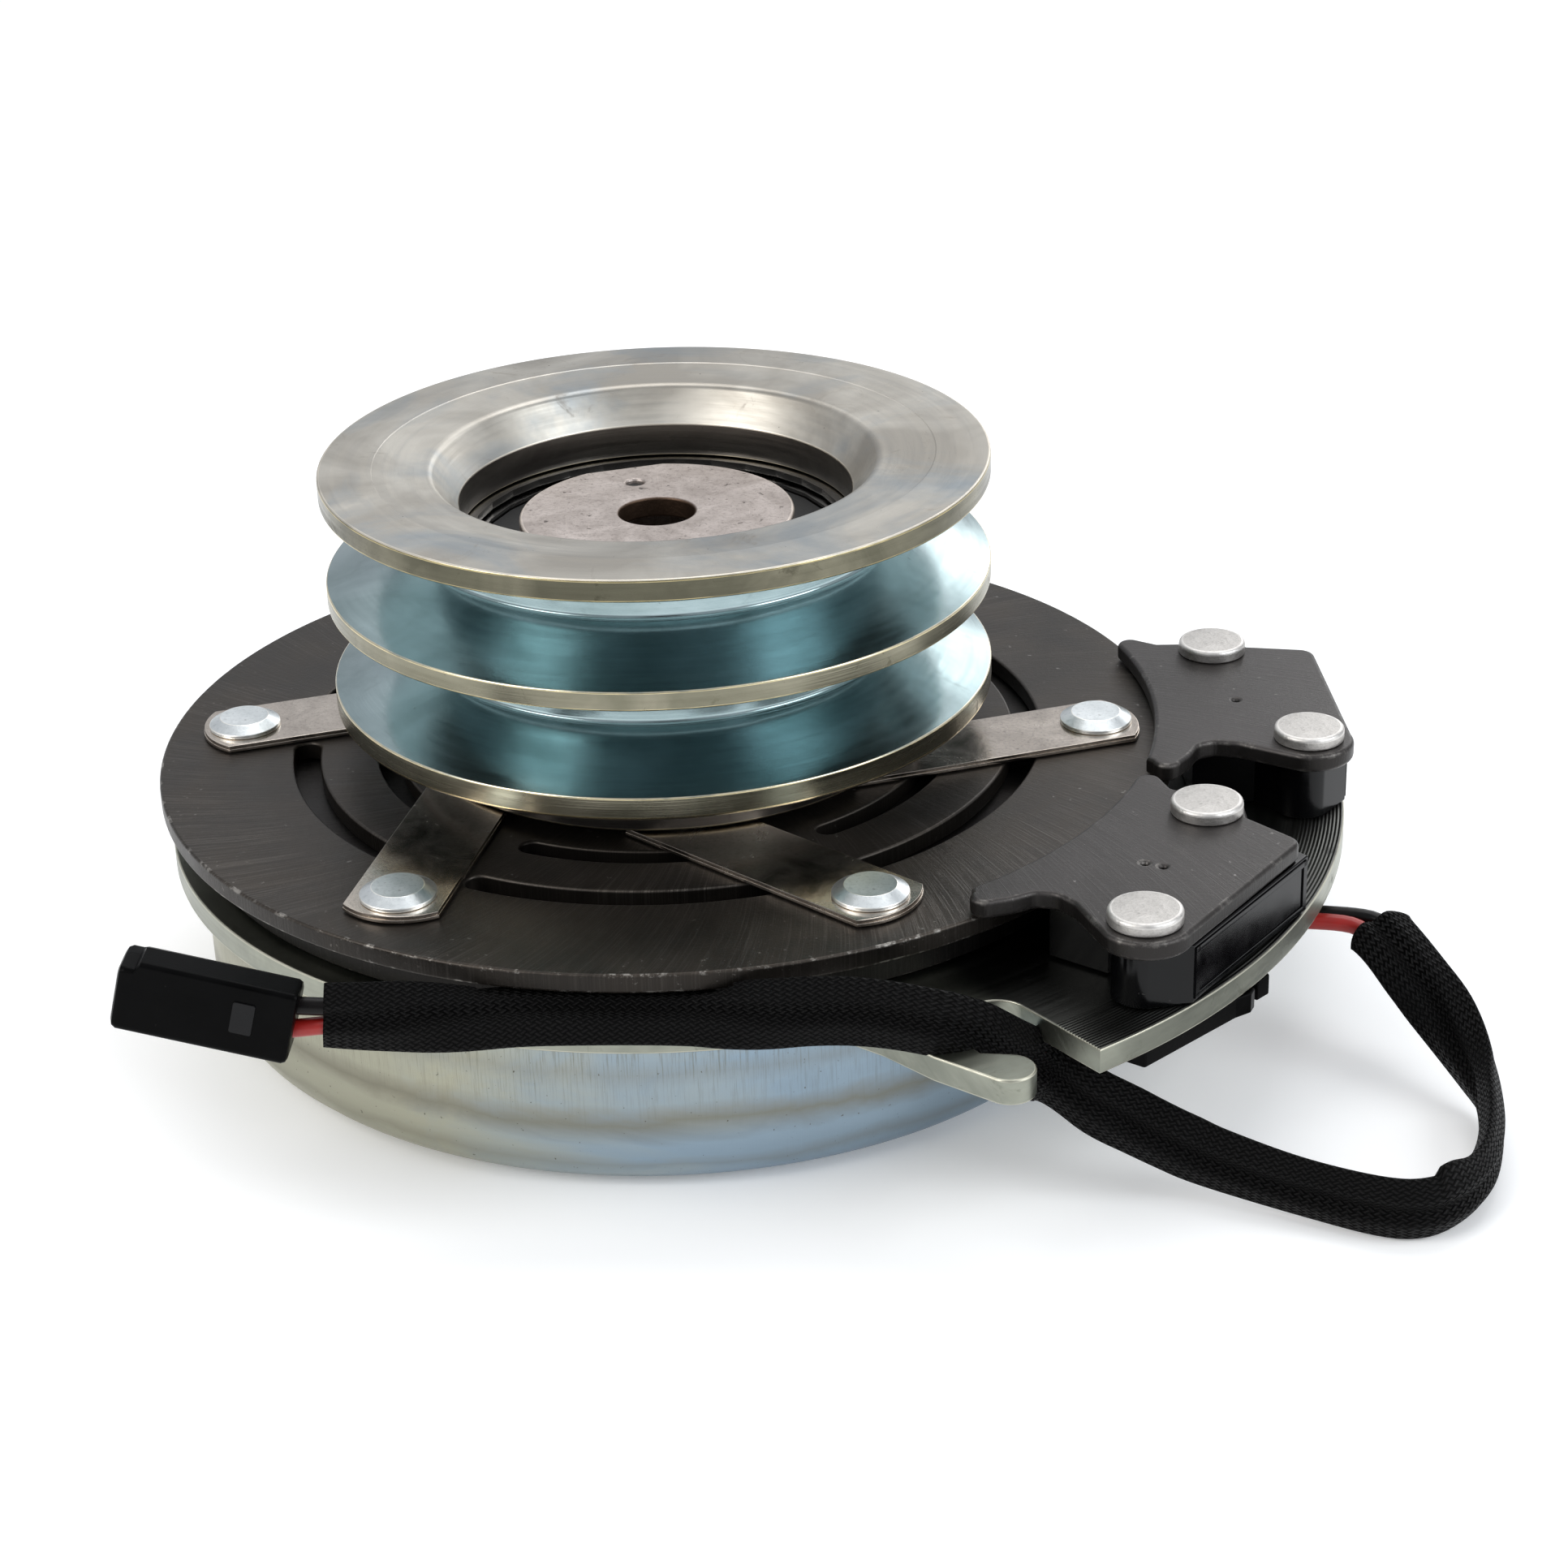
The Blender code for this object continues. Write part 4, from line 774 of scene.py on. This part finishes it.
sleeve, sleeve_line, sleeve_length = ribbon("braided_sleeve", SLEEVE_ROUTE, SLEEVE_W, SLEEVE_T, BRAID,
                                            "field", ["harness_sleeve"])
outlet = Vector((*polar(SHELL_R + 4.0, LEAD_ANGLE), LEAD_Z))
start = Vector(SLEEVE_ROUTE[0][:3])
finish_at = Vector(SLEEVE_ROUTE[-1][:3])
ahead = (Vector(SLEEVE_ROUTE[1][:3]) - start).normalized()
left = Vector((-ahead.y, ahead.x, 0.0)).normalized()
away = (finish_at - Vector(SLEEVE_ROUTE[-2][:3])).normalized()
leads, tails = [], []
for colour, side, lift, material in (("red", -2.0, -2.2, RED), ("black", 2.0, 2.2, BLACK_WIRE)):
    first = outlet + Vector((0.0, side, 0.0))
    last = start + ahead * 2.2 + left * side * 1.1 - Vector((0.0, 0.0, 0.1))
    middle = start - ahead * 1.2 + left * side * 1.1 - Vector((3.0, 0.0, 0.2))
    leads.append(wire(f"{colour}_lead", [first, first.lerp(middle, 0.5), middle, last], WIRE_R, material,
                      "field", [f"lead_wire_{colour}"]))
    first = finish_at - away * 2.2 + Vector((0.0, 0.0, lift * 0.7))
    last = PLUG_END + PLUG_DIRECTION * 1.5 + Vector((0.0, 0.0, lift))
    tails.append(wire(f"{colour}_tail", [first, first.lerp(last, 0.5), last], WIRE_R, material, "field",
                      [f"plug_wire_{colour}"])[0])


def tube_mesh(rings):
    """Vertices and faces of a solid through rings of points, capped at both ends."""
    n = len(rings[0])
    verts = [point for ring in rings for point in ring]
    faces = [[k * n + i, k * n + (i + 1) % n, (k + 1) * n + (i + 1) % n, (k + 1) * n + i]
             for k in range(len(rings) - 1) for i in range(n)]
    faces.append([(len(rings) - 1) * n + i for i in range(n)])
    faces.append(list(range(n))[::-1])
    return verts, faces


def connector():
    """Two-way connector: an open shell with a step along its top, and a lock tab on its near side."""
    length, depth, height = PLUG_SIZE

    def loop(pull, step):
        d, h = depth / 2 - pull, height / 2 - pull
        top = h - 1.7 + step
        return outline([(d, h - 1.7, 1.0), (d - 3.2, top, 0.6), (d - 4.2, top, 0.8), (-d + 0.6, top, 1.0),
                        (-d, top - 0.5, 0.8), (-d, -h, 1.3), (d, -h, 1.3)], 5)

    body = [(0.75, 0.0), (0.25, 0.25), (0.0, 0.9), (0.0, length - 3.4)]
    rings = [[(x, -d, h) for d, h in loop(pull, 1.7)] for pull, x in body]
    mouth = [(0.0, length - 2.6), (0.0, length - 1.0), (0.3, length - 0.3), (0.9, length)]
    inside = [(1.3, length - 0.2), (1.5, length - 1.0), (1.5, 7.5), (4.0, 7.4)]
    rings += [[(x, -d, h) for d, h in loop(pull, 0.2)] for pull, x in mouth + inside]
    verts, faces = tube_mesh(rings)
    tab = outline([(6.4, 3.4, 0.4), (10.0, 3.4, 0.4), (10.0, -2.2, 0.4), (6.4, -2.2, 0.4)], 3)
    near = depth / 2
    more, sides = tube_mesh([[(x, near - 0.3, z) for x, z in tab], [(x, near + 0.25, z) for x, z in tab]])
    faces += [[len(verts) + i for i in face] for face in sides]
    return verts + more, faces, len(sides)


at_plug = world(PLUG_END)
turn_plug = PLUG_DIRECTION.to_track_quat("X", "Z").to_matrix().to_4x4()
verts, faces, tab_faces = connector()
# The tab's faces take the lighter black, a painted reflection.
paint = [int(k >= len(faces) - tab_faces) for k in range(len(faces))]
housing = make("connector", np.array(verts) * MM, faces, [MATTE_BLACK, TAB_PAINTED_REFLECTION], "", ["connector_housing"],
               paint, at=at_plug)
housing.rotation_euler = turn_plug.to_euler()
bpy.context.view_layer.update()
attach(housing, "field")

# ---------------------------------------------------------------- pulley and hub

PULLEY_TOP = high("pulley")
PULLEY_R = 60.3
BASE_Z = low("pulley")
SEAT_R, MOUTH_R = 36.3, 35.5            # bearing seat and the narrower bore above it
RING_R, RING_LOW, RING_TOP = 37.9, 85.5, 87.4       # groove of the snap ring
groove_z = (PULLEY_TOP - 12.0, PULLEY_TOP - 31.55)
half_top, half_root, root_r = 8.1, 1.9, 43.5
low_rim = PULLEY_TOP - 43.8
profile = [(50.6, PULLEY_TOP, 0.0), (PULLEY_R, PULLEY_TOP, 0.45)]
for z in groove_z:
    profile += [(PULLEY_R, z + half_top, 0.4), (root_r, z + half_root, 1.3), (root_r, z - half_root, 1.3),
                (PULLEY_R, z - half_top, 0.4)]
profile += [(PULLEY_R, low_rim, 0.7), (45.8, low_rim - 1.5, 1.5), (45.8, BASE_Z, 0.5), (SEAT_R, BASE_Z, 0.5),
            (SEAT_R, RING_LOW, 0.2), (RING_R, RING_LOW, 0.1), (RING_R, RING_TOP, 0.1),
            (MOUTH_R, RING_TOP, 0.2), (MOUTH_R, 93.5, 0.6), (40.3, PULLEY_TOP - 0.9, 2.2),
            (50.3, PULLEY_TOP - 0.2, 0.0)]


def pulley_zone(radius, z):
    # The top rim takes the darker copy of the rim zinc, which is painted shade.
    if radius > PULLEY_R - 0.05:
        return 4 if z > groove_z[0] else 2
    if z > PULLEY_TOP - 7.4 and radius < 50.9 or z > PULLEY_TOP - 0.8:
        return 0
    # The bore and cone, and the base under the lower rim, take the darker bore zinc; on the base that is
    # painted shade.
    if radius < 38.5 or z < low_rim - 0.8:
        return 3
    return 1


lathe("turned_pulley", profile, [ZINC_TOP, ZINC_GROOVE, ZINC_RIM, ZINC_BORE_AND_PAINTED_SHADE_BASE, ZINC_RIM_TOP_PAINTED_SHADE], "pulley",
      ["pulley"], 256, choose=pulley_zone)

DISC_R, DISC_T, BOLT_R = 24.9, 3.9, 6.9
FLAT_AT, FLAT_ANGLE = 23.8, 124.0       # the flat on the disc's edge; the dimple is on the same radius
DIMPLE = polar(15.8, FLAT_ANGLE)
disc_top = high("hub_end_disc")
half_flat = math.degrees(math.acos(FLAT_AT / DISC_R))
disc_edge = turn_points(arc((0.0, 0.0), DISC_R, half_flat, 360.0 - half_flat, 150), FLAT_ANGLE)
slab("hub_disc", [disc_edge, circle((0, 0), BOLT_R, 64), circle(DIMPLE, 1.7, 24)], disc_top - DISC_T,
     disc_top, [SINTER], "rotor", ["hub_end_disc"], 0.55, worn=1)
# Painted shade: the dimple's floor is a near-black plug, standing in for the shade at its bottom.
slab("hub_disc_dimple_painted_shade", [circle(DIMPLE, 1.8, 24)], disc_top - DISC_T + 0.6, disc_top - 0.9, [RUBBER],
     "rotor", (), 0.1, 2)

# ---------------------------------------------------------------- armature, springs, rivets

ARM_TOP, ARM_LOW = high("armature_plate"), low("armature_plate")
ARM_R = 93.7
FLUX_SLOTS = ((66.8, 2.4, 20.2, 66.0), (51.7, 2.1, 21.8, 66.5))     # radius, half width, from, to
SPRINGS, PHASE, RIVET_AT, LEAN, SPAN, SPRING_W = 6, 14.3, 79.5, 20.4, 45.0, 17.0


def spring_angle(index):
    return PHASE + 360.0 * index / SPRINGS


def spring_inner(index):
    angle = spring_angle(index)
    x, y = polar(RIVET_AT, angle)
    dx, dy = polar(SPAN, angle + 180.0 + LEAN)
    return (x + dx, y + dy)


def arc_slot(radius, half_width, start, end, count=28):
    head, tail = polar(radius, end), polar(radius, start)
    points = arc((0.0, 0.0), radius + half_width, start, end, count)
    points += arc(head, half_width, end, end + 180.0, 10)[1:-1]
    points += arc((0.0, 0.0), radius - half_width, end, start, count)
    return points + arc(tail, half_width, start + 180.0, start + 360.0, 10)[1:-1]


bore, scallop, scallop_at = 38.0, 5.4, 40.8
bite = math.degrees(math.acos((scallop_at ** 2 + bore ** 2 - scallop ** 2) / (2 * scallop_at * bore)))
inside = []
for i in range(SPRINGS):
    x, y = spring_inner(i)
    centre = math.degrees(math.atan2(y, x))
    start_at, end_at = polar(bore, centre - bite), polar(bore, centre + bite)
    first = math.degrees(math.atan2(start_at[1] - y, start_at[0] - x))
    last = math.degrees(math.atan2(end_at[1] - y, end_at[0] - x))
    while last < first:
        last += 360.0
    inside += arc((x, y), scallop, first, last, 20)
    inside += arc((0.0, 0.0), bore, centre + bite + 3.0, centre + 60.0 - bite - 3.0, 12)
loops = [circle((0.0, 0.0), ARM_R, 240), inside]
for i in range(SPRINGS):
    for radius, half_width, start_at, end_at in FLUX_SLOTS:
        loops.append(arc_slot(radius, half_width, start_at + 60.0 * i, end_at + 60.0 * i))
slab("armature", loops, ARM_LOW, ARM_TOP, [PHOSPHATE], "armature", ["armature_plate"], 0.55, worn=1)

half, nose_r = SPRING_W / 2.0, 12.5
leaf_low, leaf_top = low("leaf_spring_1"), high("leaf_spring_1")
for i in range(SPRINGS):
    angle = spring_angle(i)
    place = polar(RIVET_AT, angle)
    for k in range(2):
        reach = 7.7 - 0.15 * k
        bow = math.degrees(math.asin((half - 0.1 * k) / nose_r))
        nose = arc((reach - nose_r, 0.0), nose_r, -bow, bow, 16)
        tail = arc((-SPAN - reach + nose_r, 0.0), nose_r, 180.0 - bow, 180.0 + bow, 16)
        shape = turn_points(nose + tail, angle + LEAN, place)
        step = (leaf_top - leaf_low) / 2.0
        layer = (leaf_low + step * k + 0.02, leaf_low + step * (k + 1) - 0.02)
        leaf = slab(f"leaf_{i + 1}_{k + 1}", [shape], *layer, [SPRING_STEEL], "",
                    [f"leaf_spring_{i + 1}"] if k == 1 else (), 0.12, 2, 0)
        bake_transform(leaf)
    head_low, head_top = leaf_top + 0.02, high("armature_rivet_1")
    lathe(f"spring_rivet_{i + 1}", [(0.0, head_top, 0.0), (4.5, head_top, 0.3), (6.6, head_top - 1.25, 0.25),
                                    (6.6, head_low, 0.2), (0.0, head_low, 0.0)],
          [RIVET_ZINC], "armature", [f"armature_rivet_{i + 1}"], 64, False, place)

# ---------------------------------------------------------------- brake

POLE_ANGLES = (19.07, -19.07)
POLE_LOW, POLE_TOP = low("brake_pole_1"), high("brake_pole_1")
BOSSES = ((104.4, 18.2), (116.0, -22.1))
BLOCK_LOW, BLOCK_TOP = low("magnet_block_1"), high("magnet_block_1")
HEAD_TOP = high("brake_rivet_1")


def pole_outline():
    boss_a, boss_b = BOSSES
    points = arc((0.0, 0.0), 90.2, -17.8, 14.6, 40)
    points += arc((89.5, 23.6), 2.4, 185.0, 50.0, 12)
    points += [(94.5, 23.0)]
    points += arc(boss_a, 7.0, 140.0, 52.0, 14)
    points += [(111.5, 20.0)]
    points += arc((120.6, 14.9), 3.0, 80.0, 0.0, 8)
    points += arc(boss_b, 8.1, 10.0, -112.0, 22)
    points += outline([(107.8, -26.2), (103.0, -23.0, 3.0), (99.0, -21.9, 3.0), (95.8, -23.2, 3.0),
                       (93.8, -27.2)])
    points += arc((89.4, -28.7), 2.6, -20.0, -175.0, 14)
    return points


def block_outline():
    column = 5.4
    points = [(123.6, -19.3), (123.6, 19.3)]
    points += arc(BOSSES[0], column, 40.0, 160.0, 18)
    points += [(96.8, 17.0), (95.8, 15.0), (95.6, -18.6), (107.0, -18.6)]
    points += arc((115.2, -21.0), column, 195.0, 310.0, 18)
    return points


for index, angle in enumerate(POLE_ANGLES, start=1):
    marks = [circle((105.5 + 3.2 * k, -4.5 + 0.6 * k), 0.55, 12) for k in range(index)]
    loops = [turn_points(loop, angle) for loop in [pole_outline()] + marks]
    slab(f"pole_{index}", loops, POLE_LOW, POLE_TOP, [POLE_STEEL], "field", [f"brake_pole_{index}"], 0.85, 5)
    slab(f"block_{index}", [turn_points(block_outline(), angle)], BLOCK_LOW, BLOCK_TOP, [GLOSS_BLACK],
         "field", [f"magnet_block_{index}"], 0.35)
    for k, (near, far, under, over) in enumerate(((-18.6, 18.6, 0.6, 1.6), (-18.6, 18.6, -1.6, -0.6),
                                                  (-18.8, -17.6, 0.6, -0.6), (17.6, 18.8, 0.6, -0.6))):
        bar = [(123.4, near), (123.85, near), (123.85, far), (123.4, far)]
        heights = [BLOCK_LOW + v if v > 0.0 else BLOCK_TOP + v for v in (under, over)]
        slab(f"block_frame_{index}_{k}", [turn_points(bar, angle)], *heights, [GLOSS_BLACK], "field", (),
             0.12, 2)
    for k, place in enumerate(turn_points(BOSSES, angle)):
        node = f"brake_rivet_{2 * index - 1 + k}"
        lathe(f"pole_rivet_{2 * index - 1 + k}",
              [(0.0, HEAD_TOP, 0.0), (3.0, HEAD_TOP - 0.05, 0.5), (6.3, HEAD_TOP - 0.25, 0.8),
               (6.3, POLE_TOP + 0.05, 0.35), (0.0, POLE_TOP + 0.05, 0.0)],
              [RIVET_BRIGHT], "field", [node], 72, False, place)
    bar = outline([(111.5, -28.4, 0.6), (120.1, -28.4, 0.6), (124.4, -6.0, 0.6), (125.6, -3.0, 0.4),
                   (125.2, -1.0, 0.3), (114.0, -1.0, 0.3), (114.0, 1.2, 0.3), (124.5, 1.2, 0.3),
                   (125.0, 4.4, 0.6), (123.6, 5.6, 0.6), (111.5, 5.6, 0.6)], 4)
    slab(f"retainer_{index}", [turn_points(bar, angle)], low("magnet_retainer_1"), high("magnet_retainer_1"),
         [MATTE_BLACK], "field", [f"magnet_retainer_{index}"], 0.3)

# ---------------------------------------------------------------- field plate, shell, rotor

PLATE_LOW, PLATE_TOP = low("field_plate"), high("field_plate")
SLOT_END, SLOT_ANGLE, SLOT_HALF_W = (80.5, -70.1), -35.1, 5.4
SLOT_WIDER = 4.2                # on the side of the tongue
dx, dy = polar(1.0, SLOT_ANGLE)
mouth = (SLOT_END[0] + 18.8 * dx - SLOT_HALF_W * dy, SLOT_END[1] + 18.8 * dy + SLOT_HALF_W * dx)
edge = [mouth] + arc((0.0, 0.0), 125.0, -35.6, 38.0, 90)
edge += arc((0.0, 0.0), 92.3, 52.0, 303.0, 220)
edge += outline([(56.9, -77.2), (64.0, -79.9, 6.0), (73.8, -85.2)], 5)
edge += arc((86.3, -85.3), 4.3, -105.0, 110.0, 24) + [(80.7, -82.0)]
wide_end = (SLOT_END[0] + SLOT_WIDER * dy, SLOT_END[1] - SLOT_WIDER * dx)
edge += arc(wide_end, SLOT_HALF_W, SLOT_ANGLE - 90.0, SLOT_ANGLE - 180.0, 12)
edge += arc(SLOT_END, SLOT_HALF_W, SLOT_ANGLE - 180.0, SLOT_ANGLE - 270.0, 12)
slab("zinc_field_plate", [edge, circle((0.0, 0.0), SHELL_IN, 160)], PLATE_LOW, PLATE_TOP, [ZINC_PLATE],
     "field", ["field_plate"], 0.35)

shell_top = high("field_shell")
floor_t = 3.2
seat_r, seat_out, seat_top = 37.8, 41.5, 23.0       # upright collar round the lower bearing
bowl = [(SHELL_R, shell_top, 0.4), (SHELL_R, 0.0, 9.5), (41.0, 0.0, 0.6), (seat_r, 0.0, 0.8),
        (seat_r, seat_top, 0.4), (seat_out, seat_top, 0.4), (seat_out, floor_t, 0.5),
        (SHELL_IN, floor_t, 6.0), (SHELL_IN, shell_top, 0.3)]
lathe("bowl", bowl, [ZINC_SHELL], "field", ["field_shell"], 256)

rotor_top, rotor_low = high("rotor_disc"), low("rotor_disc")
loops = [circle((0.0, 0.0), 88.0, 200), circle((0.0, 0.0), 22.8, 80)]
for i in range(4):
    loops.append(arc_slot(58.5, 1.6, 90.0 * i + 8.0, 90.0 * i + 80.0))
slab("rotor_face", loops, rotor_low, rotor_top, [ROTOR_STEEL], "rotor", ["rotor_disc"], 0.4)
